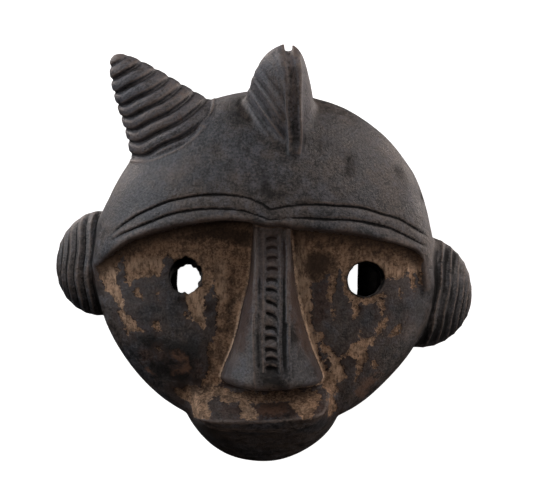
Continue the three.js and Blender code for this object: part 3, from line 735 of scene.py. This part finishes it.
film = {
    "leftLow": ((-29.5, -26.0, 3.0), (-20.0, -30.0, 4.0)),
    "noseLeft": ((-3.4, -6.0, 0.8), (-4.6, -16.0, 1.4), (-6.4, -24.0, 1.5)),
    "noseRight": ((6.8, -6.0, 1.2), (8.4, -16.0, 1.8), (10.0, -23.0, 1.8)),
    "noseTip": ((1.6, -28.5, 2.0), (1.6, -33.0, 2.6)),
    "besideSmudge": ((15.0, -9.5, 2.0), (13.6, -17.0, 1.8)),
    "lip": ((-10.0, -40.6, 1.6), (14.0, -39.6, 1.6)),
    "keelTop": ((6.6, 50.0, 1.2), (7.4, 42.0, 1.2), (8.0, 30.0, 1.0)),
}
rust = {                      # red brown chips and rubbed places
    "leftCheek": ((-23.6, -26.2, 0.8), (-20.8, -27.6, 1.3), (-19.6, -29.8, 1.0), (-23.2, -30.7, 0.7)),
    "hornChip": ((-22.0, 34.5, 0.3), (-21.6, 35.3, 0.35)),
    "hornChipAbove": ((-20.7, 40.7, 0.3), (-20.0, 40.8, 0.3)),
    "hornFootChip": ((-18.3, 31.2, 0.2), (-17.5, 31.5, 0.2)),
    "leftJaw": ((-30.3, -30.0, 0.5), (-29.4, -30.8, 0.4), (-27.9, -32.1, 0.35)),
    "lip": ((-1.2, -40.2, 1.1), (4.2, -40.0, 1.2)),
    "lowRight": ((29.5, -31.4, 0.9), (26.9, -33.5, 1.5), (24.6, -35.9, 1.4)),
}
bright = {                    # where clay and patina are painted paler: painted light, with some real paler worn places
    "noseRight": ((8.4, 3.4, 1.5), (9.2, -8.0, 3.0), (10.8, -16.0, 2.4)),
    "rightBrow": ((29.5, -3.0, 0.6), (33.0, -5.2, 1.2), (36.4, -4.6, 0.6), (40.2, -4.4, 0.9)),
    "aboveRightEye": ((26.4, -1.6, -0.2), (30.0, -2.6, 0.3)),
    "noseWallRight": ((7.4, -8.0, 1.0), (8.8, -15.0, 1.4), (10.8, -22.0, 1.6)),
    "keelTop": ((6.2, 51.0, 1.5), (7.2, 42.0, 1.5), (7.2, 35.0, 0.7)),
    "crestFlank": ((2.0, 48.4, 1.2), (3.0, 42.0, 2.2), (3.6, 34.0, 2.0)),
    "besideCrest": ((-6.4, 37.6, 1.0), (-4.0, 34.2, 1.0)),
    "besideWing": ((10.9, -17.0, 1.2), (13.8, -28.0, 1.0)),
    "rightWing": ((17.0, -27.0, 0.8), (18.4, -31.4, 1.4)),
    "lipLeft": ((-12.4, -39.2, 1.0), (-9.4, -41.0, 1.1)),
    "jaw": ((-13.0, -47.0, 0.9), (0.0, -49.6, 2.0), (12.0, -47.4, 0.9)),
    "island": ((27.0, -23.0, 0.6), (23.8, -24.6, 1.2)),
    "leftEdge": ((-40.0, -3.4, 1.4), (-37.9, -10.9, 1.0), (-34.6, -18.4, 0.9)),
    "leftBrow": ((-34.0, -2.4, 1.2), (-27.4, -3.4, 1.0)),
    "tongue": ((-18.0, -11.0, 1.6), (-16.8, -16.0, 0.9)),
    "noseTopLeft": ((-3.9, 3.4, 0.5), (-4.1, 0.4, 0.3)),
    "besideEye": ((-11.4, -3.0, 0.6), (-11.0, -12.0, 0.8)),
    "lipMiddle": ((-5.0, -40.0, 0.0), (-4.2, -41.6, 0.2)),
    "lipRight": ((9.4, -40.0, 0.2), (11.2, -39.6, 0.0)),
}
patches = {"stainAndShade": stainAndShade, "film": film, "rust": rust, "bright": bright}
browBand = {                  # how far down the clay reaches under the brow, by place across it
    "at": (-43.4, -42.6, -38.0, -34.6, -29.0, -26.4, -25.4, -24.0, -22.0, -18.0, -14.0, 4.0, 9.0,
           11.5, 14.0, 16.5, 17.5, 19.0, 20.5, 22.0, 30.3, 34.6, 36.6, 40.2, 41.6),
    "deep": (-1.5, 3.5, 5.0, 9.8, 11.0, 11.2, 9.4, 8.4, 9.5, 10.0, 12.0, 12.0, 12.0,
             12.8, 12.5, 11.0, 9.0, 9.2, 11.1, 8.5, 9.8, 8.8, 5.8, 5.0, -1.5),
}
patchReach = 9.0              # the furthest that a point is measured from a patch
wander = (                    # axis, how far an edge strays along it, and the noise that moves it
    (0, 0.5, 2.6, 0.3), (0, 0.45, 1.1, 5.1), (1, 0.7, 3.1, 8.2), (1, 0.5, 1.2, 2.7),
    (0, 0.22, 0.55, 1.9), (1, 0.22, 0.6, 7.7),
)
clayEnds = {                  # how far from each neighbour the clay ends, and its lowest place
    "nose": 0.45, "brow": 0.25, "lip": 0.5, "bun": 0.6, "back": 1.5, "lowZ": 21.0,
    "fall": 2.0, "lowFall": 0.8,      # how fast the distance then grows
}


def chainDistance(x, y, chain):
    nearest = np.full(x.shape, np.inf)
    for (ax, ay, ar), (bx, by, br) in zip(chain, chain[1:]):
        runX, runY = bx - ax, by - ay
        t = np.clip(((x - ax) * runX + (y - ay) * runY) / (runX**2 + runY**2), 0.0, 1.0)
        gap = np.hypot(x - ax - t * runX, y - ay - t * runY) - mix(ar, br, t)
        nearest = np.minimum(nearest, gap)
    return nearest


def patchDistance(points, chains):
    # how far a point is from the nearest patch's edge, less than nothing inside a patch
    distance = np.full(len(points), patchReach)
    for chain in chains.values():
        distance = np.minimum(distance, chainDistance(points[:, 0], points[:, 1], chain))
    return distance


def wandered(points):
    # the edges of clay and crust wander by about half a millimetre
    warp = np.zeros_like(points)
    for axis, reach, size, shift in wander:
        warp[:, axis] += reach * noise(points, size, shift)
    return points + warp


def clayDistance(points):
    # how far a point is from the clay's edge, in millimetres, less than nothing on the clay
    x, y, z = byHand(*points.T)
    loose = wandered(points)
    deep = np.interp(loose[:, 0], browBand["at"], browBand["deep"])
    distance = belowLine(brow["edge"], loose[:, 0], loose[:, 1]) - deep
    distance = np.minimum(distance, patchDistance(loose, clay))
    distance = np.maximum(distance, -patchDistance(loose, crust))
    fall = clayEnds["fall"]
    return np.maximum.reduce([
        distance,
        fall * (clayEnds["nose"] - noseField(x, y, z)),
        fall * (clayEnds["brow"] - recess(x, y)),
        -mouthField(x, y, z) + fall * (mouth["lowY"][2] + clayEnds["lip"] - y),
        clayEnds["bun"] - np.minimum(*(bunField(bun, x, y, z) for bun in buns)),
        clayEnds["back"] - np.abs(hollowField(x, y, z)),
        clayEnds["lowFall"] * (clayEnds["lowZ"] - z),
    ])


# Noises are given as size, shift and height, and pairs are what a smooth step runs between
relief = {
    "slow": (7.0, 0.0, 0.09), "middle": (2.4, 4.0, 0.03),
    "clayRough": ((1.7, 6.6, 0.09), (0.8, 6.6, 0.05)), "crustRough": 0.35, "crustThick": 0.16,
    "clayEdge": (-0.35, 0.15), "insideFace": (0.0, 1.0), "faceZ": (19.0, 22.0),
    "offNose": (0.2, 0.8), "offHollow": (0.3, 1.5), "hollowZ": (0.5, 3.0), "rimZ": (0.2, 1.4),
    "facetNet": (4.2, 8.5, 6.0), "facetJitter": 0.4, "facet": 0.42, "facetMiddle": 0.4,
}


def scallops(points):
    # knife facets: shallow hollows on a jittered net, longer along Y
    spots = points / np.array(relief["facetNet"])
    base = np.floor(spots).astype(np.int64)
    nearest = np.full(len(points), np.inf)
    for corner in product((-1, 0, 1), repeat=3):
        cell = base + np.array(corner)
        jitter = lattice[tuple((cell % latticeSize).T)] * relief["facetJitter"]
        gap = spots - cell - 0.5 - jitter[:, None]
        nearest = np.minimum(nearest, (gap * gap).sum(axis=1))
    return nearest


def bumps(points, *noises):
    return sum(height * noise(points, size, shift) for size, shift, height in noises)


def reliefAt(points):
    x, y, z = byHand(*points.T)
    height = bumps(points, relief["slow"], relief["middle"])
    onFace = smoothStep(*relief["insideFace"], recess(x, y)) * smoothStep(*relief["faceZ"], z)
    onFace = onFace * smoothStep(*relief["offNose"], noseField(x, y, z))
    rough = bumps(points, *relief["clayRough"])
    sunk = 1.0 - smoothStep(*relief["clayEdge"], clayDistance(points))
    rough = rough * mix(relief["crustRough"], 1.0, sunk)
    height += onFace * (rough - relief["crustThick"] * sunk)
    lipAt, lipWidth, lipLift = horn["footLip"]
    height += lipLift * np.exp(-(((hornField(x, y, z) - lipAt) / lipWidth) ** 2))
    inHollow = 1.0 - smoothStep(*relief["offHollow"], np.abs(hollowField(x, y, z)))
    inHollow = inHollow * smoothStep(*relief["hollowZ"], z)
    height -= inHollow * relief["facet"] * (scallops(points) - relief["facetMiddle"])
    return height * smoothStep(*relief["rimZ"], z)


# The skin: the field is sampled on a net of points, and each cell that it crosses gives one
# vertex, which is then drawn onto the true surface.

net = {
    "step": 0.38, "margin": 1.4, "triangles": 190000,
    "settle": 2, "probe": 0.06, "leastSlope": 0.25, "longestMove": 0.4,
}
middle = np.array((-0.1, -1.36, 0.0))         # where the frame's origin lies in the drawing
millimetre = 0.001


def makeNet():
    low = np.array(cadLow) / millimetre + middle - net["margin"]
    high = np.array(cadHigh) / millimetre + middle + net["margin"]
    lines = [np.arange(a, b, net["step"], dtype=np.float32) for a, b in zip(low, high)]
    place = (lines[0][:, None, None], lines[1][None, :, None], lines[2][None, None, :])
    return np.array([line[0] for line in lines]), carve(place)


def skinOf(field, origin):
    # one vertex in each crossed cell, in the middle of the places where its edges are crossed,
    # and one face round each crossed edge of the net
    inside = field < 0
    size = np.array(field.shape) - 1
    corners = list(product((0, 1), repeat=3))

    def at(values, corner):
        return values[tuple(slice(c, c + n) for c, n in zip(corner, size))]

    count = sum(at(inside, corner).astype(np.uint8) for corner in corners)
    crossed = (count > 0) & (count < 8)
    cells = np.argwhere(crossed)
    number = np.full(crossed.shape, -1, np.int64)
    number[crossed] = np.arange(len(cells))
    values = np.stack([at(field, corner)[crossed] for corner in corners], axis=1)
    total = np.zeros((len(cells), 3))
    hits = np.zeros(len(cells))
    for a, b in combinations(range(8), 2):
        start, end = np.array(corners[a]), np.array(corners[b])
        if np.abs(end - start).sum() != 1:
            continue
        va, vb = values[:, a], values[:, b]
        cut = (va < 0) != (vb < 0)
        t = np.where(cut, va / np.where(cut, va - vb, 1.0), 0.0)
        total += cut[:, None] * (start + t[:, None] * (end - start))
        hits += cut
    points = origin + (cells + total / hits[:, None]) * net["step"]
    faces = []
    for axis in range(3):
        second, third = (axis + 1) % 3, (axis + 2) % 3
        near, far = [slice(None)] * 3, [slice(None)] * 3
        near[axis], far[axis] = slice(0, -1), slice(1, None)
        spots = np.argwhere(inside[tuple(near)] != inside[tuple(far)])
        keep = (spots[:, second] > 0) & (spots[:, third] > 0)
        keep &= (spots[:, second] < size[second]) & (spots[:, third] < size[third])
        spots = spots[keep]
        ring = []
        for back, up in ((1, 1), (0, 1), (0, 0), (1, 0)):
            cell = spots.copy()
            cell[:, second] -= back
            cell[:, third] -= up
            ring.append(number[tuple(cell.T)])
        quads = np.stack(ring, axis=1)
        outward = inside[tuple(spots.T)]
        faces.append(np.where(outward[:, None], quads, quads[:, ::-1]))
    return points, np.concatenate(faces)


def carvedAt(points):
    return carve(tuple(np.ascontiguousarray(line) for line in points.T))


def settled(points):
    # draws the points along the slope onto the carved surface with its relief
    for _ in range(net["settle"]):
        value = carvedAt(points) - reliefAt(points)
        slope = np.empty_like(points)
        for axis in range(3):
            probe = np.zeros(3)
            probe[axis] = net["probe"]
            slope[:, axis] = carvedAt(points + probe) - carvedAt(points - probe)
        slope /= 2.0 * net["probe"]
        steep = np.maximum((slope * slope).sum(axis=1), net["leastSlope"])
        move = np.clip(value / steep, -net["longestMove"], net["longestMove"])
        points = points - move[:, None] * slope
        points[:, 2] = np.maximum(points[:, 2], 0.0)
    return points


def blurred(field):
    # each place takes the mean of itself and its two neighbours, twice along every axis
    for axis in (0, 0, 1, 1, 2, 2):
        field = (np.roll(field, 1, axis) + field + np.roll(field, -1, axis)) / 3.0
    return field


def sampled(field, origin, points):
    spots = np.clip((points - origin) / net["step"], 0, np.array(field.shape) - 1.001)
    base = spots.astype(np.int64)
    return between(field, base, spots - base)


def meshObject(name, points, faces):
    mesh = bpy.data.meshes.new(name)
    mesh.from_pydata(((points - middle) * millimetre).tolist(), [], faces.tolist())
    mesh.update()
    piece = bpy.data.objects.new(name, mesh)
    bpy.context.scene.collection.objects.link(piece)
    return piece


def triangleCount(mesh):
    return sum(len(face.vertices) - 2 for face in mesh.polygons)


def thinned(piece):
    triangles = triangleCount(piece.data)
    thin = piece.modifiers.new("thin", "DECIMATE")
    thin.ratio = min(1.0, net["triangles"] / triangles)
    depsgraph = bpy.context.evaluated_depsgraph_get()
    mesh = bpy.data.meshes.new_from_object(piece.evaluated_get(depsgraph))
    piece.modifiers.clear()
    piece.data = mesh
    print("skin of", triangles, "triangles, thinned to", triangleCount(mesh))


def placesOf(piece):
    places = np.zeros(len(piece.data.vertices) * 3)
    piece.data.vertices.foreach_get("co", places)
    return places.reshape(-1, 3) / millimetre + middle


def giveValue(piece, name, values):
    layer = piece.data.attributes.new(name, "FLOAT", "POINT")
    layer.data.foreach_set("value", values.astype(np.float32))


fadesOut = {"hollow": (0.5, 2.0), "eye": (0.15, 0.7)}     # how far from its wall each one ends


def finishReadings(places, woodAround):
    # what the finish reads at every point of the skin
    x, y, z = byHand(*places.T)
    loose = wandered(places)
    fromEyes = np.minimum(*(eyeField(eye, x, y, z) for eye in eyes))
    hair = (hornField, crestField, keelField)
    return {
        "woodAround": woodAround,
        "clayDistance": clayDistance(places),
        **{name + "Distance": patchDistance(loose, chains) for name, chains in patches.items()},
        "underBrow": belowLine(brow["edge"], x, y),
        "fromNose": noseField(x, y, z),
        "fromHair": np.minimum.reduce([shape(x, y, z) for shape in hair]),
        "inHollow": 1.0 - smoothStep(*fadesOut["hollow"], np.abs(hollowField(x, y, z))),
        "inEye": 1.0 - smoothStep(*fadesOut["eye"], fromEyes),
    }


def makeMask():
    origin, field = makeNet()
    print("carved on a net of", field.shape)
    points, faces = skinOf(field, origin)
    mask = meshObject("carved_mask", settled(points), faces)
    thinned(mask)
    mask.data.shade_smooth()
    places = placesOf(mask)
    # how much wood lies round a point: more in a cut, less on a crest
    wood = blurred(np.clip(0.5 - field / net["step"], 0.0, 1.0))
    woodAround = sampled(wood, origin, places) - 0.5
    for name, values in finishReadings(places, woodAround).items():
        giveValue(mask, name, values)
    return mask


mask = makeMask()
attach(mask, "root")
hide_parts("mask")
print("mask carved")


# Finish: a near black patina with brown clay on the face

finish = {
    "patina": (0.032, 0.032, 0.036, 1.0),
    "patinaBrown": (0.054, 0.043, 0.037, 1.0),
    "patinaDeep": (0.006, 0.006, 0.006, 1.0),
    "patinaPale": (0.082, 0.082, 0.094, 1.0),
    # a paler brown: worn wood, and also painted light on lit places and crests
    "wornAndLitWood": (0.130, 0.098, 0.080, 1.0),
    "film": (0.066, 0.042, 0.034, 1.0),
    "rust": (0.130, 0.070, 0.044, 1.0),
    "clay": (0.36, 0.232, 0.150, 1.0),
    "clayDark": (0.170, 0.114, 0.078, 1.0),
    "clayDeep": (0.036, 0.026, 0.021, 1.0),
    "clayPale": (0.60, 0.42, 0.29, 1.0),
    "rawHollow": (0.060, 0.042, 0.030, 1.0),
    # near black painted shade for the walls of the eye pits
    "eyePitShade": (0.004, 0.004, 0.004, 1.0),
}
# noises: size in millimetres, detail, roughness, and stretch along each axis
grains = {
    "cloud": (9.0, 3.0, 0.6, None), "patch": (2.4, 5.0, 0.68, None),
    "fine": (0.9, 4.0, 0.6, None), "grain": (0.6, 3.0, 0.7, None),
    "fibre": (0.75, 4.0, 0.7, (1.0, 0.3, 1.0)),
}
# how far the noises fray an edge, in millimetres, and what share of that each kind of patch takes
fray = {"fine": 3.0, "grain": 1.6}
frayed = {"clay": 1.0, "film": 1.0, "rust": 1.0, "bright": 1.0, "stainAndShade": 0.8}
# where a layer lies: what it reads, the readings between which it comes in and, where two more
# numbers stand, its shares there
spans = {
    "browner": ("cloud", 0.42, 0.62), "filmy": ("film", 1.2, -1.0),
    "onHair": ("fromHair", 1.2, 0.0, 0.0, 0.6), "offHair": ("fromHair", 1.2, 0.0, 1.0, 0.52),
    "deepPatch": ("patch", 0.38, 0.50, 0.7, 0.0), "palePatch": ("patch", 0.50, 0.64, 0.0, 0.6),
    "deepGrain": ("grain", 0.36, 0.50, 0.5, 0.0), "wornGrain": ("grain", 0.54, 0.68, 0.0, 0.4),
    # stained: real stains and painted shade, laid on as near black
    "hollows": ("woodAround", 0.02, 0.08), "stainedAndShaded": ("stainAndShade", 1.6, -1.3, 0.0, 0.92),
    # crests: paler on the crests, real rubbed wear and painted highlight
    "crests": ("woodAround", -0.03, -0.12), "crestWear": ("fine", 0.3, 0.55),
    "brighter": ("bright", 1.4, -1.0), "brightFibre": ("fibre", 0.42, 0.58, 0.2, 1.0),
    "rusted": ("rust", 0.7, -0.7), "rustPatch": ("patch", 0.35, 0.6, 0.1, 0.9),
    "onClay": ("clay", 0.13, -0.13), "nearClay": ("clay", 2.6, 0.1, 0.0, 0.5),
    "clayPatch": ("patch", 0.38, 0.60), "clayFibre": ("fibre", 0.36, 0.52, 0.45, 0.0),
    "clayPits": ("grain", 0.38, 0.50, 0.4, 0.0), "clayGrain": ("grain", 0.52, 0.66, 0.0, 0.25),
    "rim": ("clayEdge", 0.3, 0.05), "rimCloud": ("cloud", 0.42, 0.62, 0.0, 0.5),
    "browShade": ("underBrow", 0.2, 5.6, 0.85, 0.0), "rootFleck": ("fine", 0.40, 0.56),
    "rootOuter": ("fromNose", 0.8, 0.45), "rootInner": ("fromNose", 0.12, 0.3),
    "rootTop": ("underBrow", 14.0, 30.0, 0.15, 1.0),
    "rootFoot": ("underBrow", 39.2, 40.8, 1.0, 0.0),
    "roughness": ("patch", 0.35, 0.65, 0.44, 0.62), "shine": ("grain", 0.36, 0.60, 0.42, 0.6),
}
# layers that lie only where all of these do
products = {
    # cut: darker in the hollows, partly dirt and partly painted shade
    "cut": ("hollows", "offHair"), "worn": ("crests", "crestWear"),
    # lit: painted light on the bright patches
    "lit": ("brighter", "brightFibre"), "rusty": ("rusted", "rustPatch"),
    "paleRim": ("rim", "onClay", "rimCloud"),
    # a thin pale line of clay caught along the root of the nose
    "root": ("rootOuter", "rootInner", "rootTop", "rootFoot", "rootFleck", "offHollow"),
}
# the layers from the lowest up: where each lies, how strongly, and its colour
patinaLayers = (
    ("browner", 1, "patinaBrown"), ("filmy", 0.9, "film"), ("onHair", 1, "patinaPale"),
    ("deepPatch", 1, "patinaDeep"), ("palePatch", 1, "patinaPale"),
    ("deepGrain", 1, "patinaDeep"), ("wornGrain", 1, "wornAndLitWood"), ("cut", 0.9, "patinaDeep"),
    ("stainedAndShaded", 1, "patinaDeep"), ("worn", 0.7, "wornAndLitWood"), ("lit", 0.45, "wornAndLitWood"),
    ("rusty", 1, "rust"), ("nearClay", 1, "film"),
)
clayLayers = (
    ("clayPatch", 1, "clay"), ("clayFibre", 1, "clayDeep"), ("clayPits", 1, "clayDeep"),
    # lit lays painted light on the clay in its pale colour
    ("clayGrain", 1, "clayPale"), ("lit", 0.65, "clayPale"), ("paleRim", 1, "clayPale"),
    ("shaded", 1, "clayDeep"),
)
# inEye paints the walls of the eye pits near black, a painted shade
lastLayers = (("root", 0.75, "clayPale"), ("inHollow", 0.85, "rawHollow"), ("inEye", 1, "eyePitShade"))
shaded = {"stainedAndShaded": 0.95}                            # what darkens clay besides the painted shade under the brow: stains, some of them painted shade too
matt = {"onClay": 0.9, "inHollow": 0.75, "cut": 0.8}  # how rough each of them is
dull = {"cut": 0.65, "filmy": 0.55}                   # how much shine each takes away
# the fine roughness, its height in millimetres, and what it is made up of
bumpy = {"strength": 0.9, "height": 0.18}
bumpMix = {"grain": 0.8, "fibre": 0.5, "patch": 1.2, "onClay": -0.8}


class Nodes:
    # short hand for wiring a material, with everything that it reads kept by name
    def __init__(self, material):
        self.tree = material.node_tree
        self.tree.nodes.clear()
        self.place = self.add("ShaderNodeTexCoord").outputs["Object"]
        self.at = {}

    def add(self, kind, **settings):
        node = self.tree.nodes.new(kind)
        for name, value in settings.items():
            setattr(node, name, value)
        return node

    def wire(self, source, target):
        self.tree.links.new(source, target)

    def fill(self, sockets, *values):
        for value, socket in zip(values, sockets):
            if isinstance(value, bpy.types.NodeSocket):
                self.wire(value, socket)
            else:
                socket.default_value = value

    def math(self, operation, *values):
        node = self.add("ShaderNodeMath", operation=operation)
        self.fill(node.inputs, *values)
        return node.outputs[0]

    def times(self, a, b):
        return self.math("MULTIPLY", a, b)

    def span(self, source, *numbers):
        node = self.add("ShaderNodeMapRange", interpolation_type="SMOOTHSTEP")
        self.fill(node.inputs, self.at[source], *numbers)
        return node.outputs[0]

    def noise(self, size, detail, roughness, stretch):
        place = self.place
        if stretch:
            mapping = self.add("ShaderNodeMapping")
            self.wire(place, mapping.inputs["Vector"])
            mapping.inputs["Scale"].default_value = stretch
            place = mapping.outputs[0]
        node = self.add("ShaderNodeTexNoise")
        self.wire(place, node.inputs["Vector"])
        node.inputs["Scale"].default_value = 1.0 / (size * millimetre)
        node.inputs["Detail"].default_value = detail
        node.inputs["Roughness"].default_value = roughness
        return node.outputs["Fac"]

    def value(self, name):
        return self.add("ShaderNodeAttribute", attribute_name=name).outputs["Fac"]

    def blend(self, share, a, b):
        node = self.add("ShaderNodeMix", data_type="RGBA")
        self.fill((node.inputs["Factor"], node.inputs[6], node.inputs[7]), share, a, b)
        return node.outputs[2]

    def coat(self, colour, layers):
        # lays the colour of each layer over what is there
        for where, strength, name in layers:
            share = self.at[where]
            if strength != 1:
                share = self.times(share, strength)
            colour = self.blend(share, colour, finish[name])
        return colour

    def strongest(self, name, others):
        # the greatest of one share and of others at their strengths
        share = self.at[name]
        for other, strength in others.items():
            share = self.math("MAXIMUM", share, self.times(self.at[other], strength))
        return share


def readSkin(make):
    # noises, what the skin carries, and how far the frayed edges of the patches are
    at = make.at
    for name, grain in grains.items():
        at[name] = make.noise(*grain)
    for name in ("woodAround", "underBrow", "fromNose", "fromHair", "inHollow", "inEye"):
        at[name] = make.value(name)
    strays = 0.0
    for name, reach in fray.items():
        centred = make.math("SUBTRACT", at[name], 0.5)
        strays = make.math("MULTIPLY_ADD", centred, reach, strays)
    for name, share in frayed.items():
        distance = make.value(name + "Distance")
        at[name] = make.math("MULTIPLY_ADD", strays, share, distance)
    at["clayEdge"] = make.math("ABSOLUTE", at["clay"])
    at["offHollow"] = make.math("SUBTRACT", 1.0, at["inHollow"])


def findLayers(make):
    # the share at which each layer shows, worked out from what was read
    at = make.at
    for name, span in spans.items():
        at[name] = make.span(*span)
    for name, (first, *others) in products.items():
        at[name] = at[first]
        for other in others:
            at[name] = make.times(at[name], at[other])
    at["shaded"] = make.strongest("browShade", shaded)


def patinaMaterial():
    material = bpy.data.materials.new("dark_wood")
    material.use_nodes = True
    make = Nodes(material)
    output = make.add("ShaderNodeOutputMaterial")
    shader = make.add("ShaderNodeBsdfPrincipled")
    make.wire(shader.outputs[0], output.inputs["Surface"])
    readSkin(make)
    findLayers(make)

    # patina and clay, then the line at the nose's root, the raw hollow, and the eye pits painted near
    # black as painted shade
    black = make.coat(finish["patina"], patinaLayers)
    brown = make.coat(finish["clayDark"], clayLayers)
    colour = make.coat(make.blend(make.at["onClay"], black, brown), lastLayers)
    make.wire(colour, shader.inputs["Base Color"])

    # a soft shine on the patina, and none on clay or in the cuts
    make.wire(make.strongest("roughness", matt), shader.inputs["Roughness"])
    polished = make.math("SUBTRACT", 1.0, make.strongest("onClay", dull))
    shine = make.times(polished, make.at["shine"])
    make.wire(shine, shader.inputs["Specular IOR Level"])

    height = 0.0
    for name, amount in bumpMix.items():
        height = make.math("MULTIPLY_ADD", make.at[name], amount, height)
    bump = make.add("ShaderNodeBump")
    bump.inputs["Strength"].default_value = bumpy["strength"]
    bump.inputs["Distance"].default_value = bumpy["height"] * millimetre
    make.wire(height, bump.inputs["Height"])
    make.wire(bump.outputs[0], shader.inputs["Normal"])
    return material


mask.data.materials.clear()
mask.data.materials.append(patinaMaterial())
print("finish laid on")

# Floor and lights

studio = {
    "floorHalf": 1.5, "floorGap": 0.0002, "paper": (0.8, 0.8, 0.8, 1.0), "paperRoughness": 0.9,
    "white": (1.0, 1.0, 1.0, 1.0),
    "lampDistance": 0.75, "lampSize": 0.4, "aim": (0.0, 0.0, 0.02),
    "warm": (1.0, 0.88, 0.82), "cool": (0.91, 0.94, 1.0),
    "lamps": {                # degrees round from the right and up from the floor, and power
        "leftSoftBox": (157, 10, 2.75, "cool"),
        "leftTop": (130, 10, 1.8, "cool"),
        "leftRim": (130, -40, 2.7, "warm"),
        "leftOver": (180, 60, 1.0, "warm"),
        "rightTop": (50, 10, 3.3, "warm"),
        "rightOver": (25, 35, 0.95, "cool"),
        "rightRim": (25, -40, 1.9, "warm"),
        "rightLow": (-20, 10, 1.6, "warm"),
    },
}


def makeFloor():
    half, gap = studio["floorHalf"], studio["floorGap"]
    mesh = bpy.data.meshes.new("floor")
    corners = [(-half, -half, -gap), (half, -half, -gap), (half, half, -gap), (-half, half, -gap)]
    mesh.from_pydata(corners, [], [(0, 1, 2, 3)])
    floor = bpy.data.objects.new("floor", mesh)
    bpy.context.scene.collection.objects.link(floor)
    material = bpy.data.materials.new("floor_paper")
    material.use_nodes = True
    shader = material.node_tree.nodes["Principled BSDF"]
    shader.inputs["Base Color"].default_value = studio["paper"]
    shader.inputs["Roughness"].default_value = studio["paperRoughness"]
    shader.inputs["Emission Color"].default_value = studio["white"]
    shader.inputs["Emission Strength"].default_value = 1.0
    mesh.materials.append(material)
    floor.visible_diffuse = False
    floor.visible_glossy = False
    floor.visible_shadow = False              # the rim lamps stand below it


def makeLamps():
    aim = mathutils.Vector(studio["aim"])
    for name, (around, up, power, tint) in studio["lamps"].items():
        turn, lift = math.radians(around), math.radians(up)
        outward = mathutils.Vector(
            (math.cos(turn) * math.cos(lift), math.sin(turn) * math.cos(lift), math.sin(lift))
        )
        light = bpy.data.lights.new(name, "AREA")
        light.shape = "SQUARE"
        light.size = studio["lampSize"]
        light.energy = power
        light.color = studio[tint]
        holder = bpy.data.objects.new(name, light)
        holder.location = aim + outward * studio["lampDistance"]
        holder.rotation_euler = (-outward).to_track_quat("-Z", "Y").to_euler()
        holder.visible_camera = False
        bpy.context.scene.collection.objects.link(holder)


def makeWorld():
    world = bpy.data.worlds.new("room")
    world.use_nodes = True
    background = world.node_tree.nodes["Background"]
    background.inputs["Color"].default_value = studio["white"]
    background.inputs["Strength"].default_value = 1.0
    world.cycles_visibility.diffuse = False
    world.cycles_visibility.glossy = False
    bpy.context.scene.world = world


makeFloor()
makeLamps()
makeWorld()
bpy.context.scene.view_settings.view_transform = "Standard"
print("studio lit")
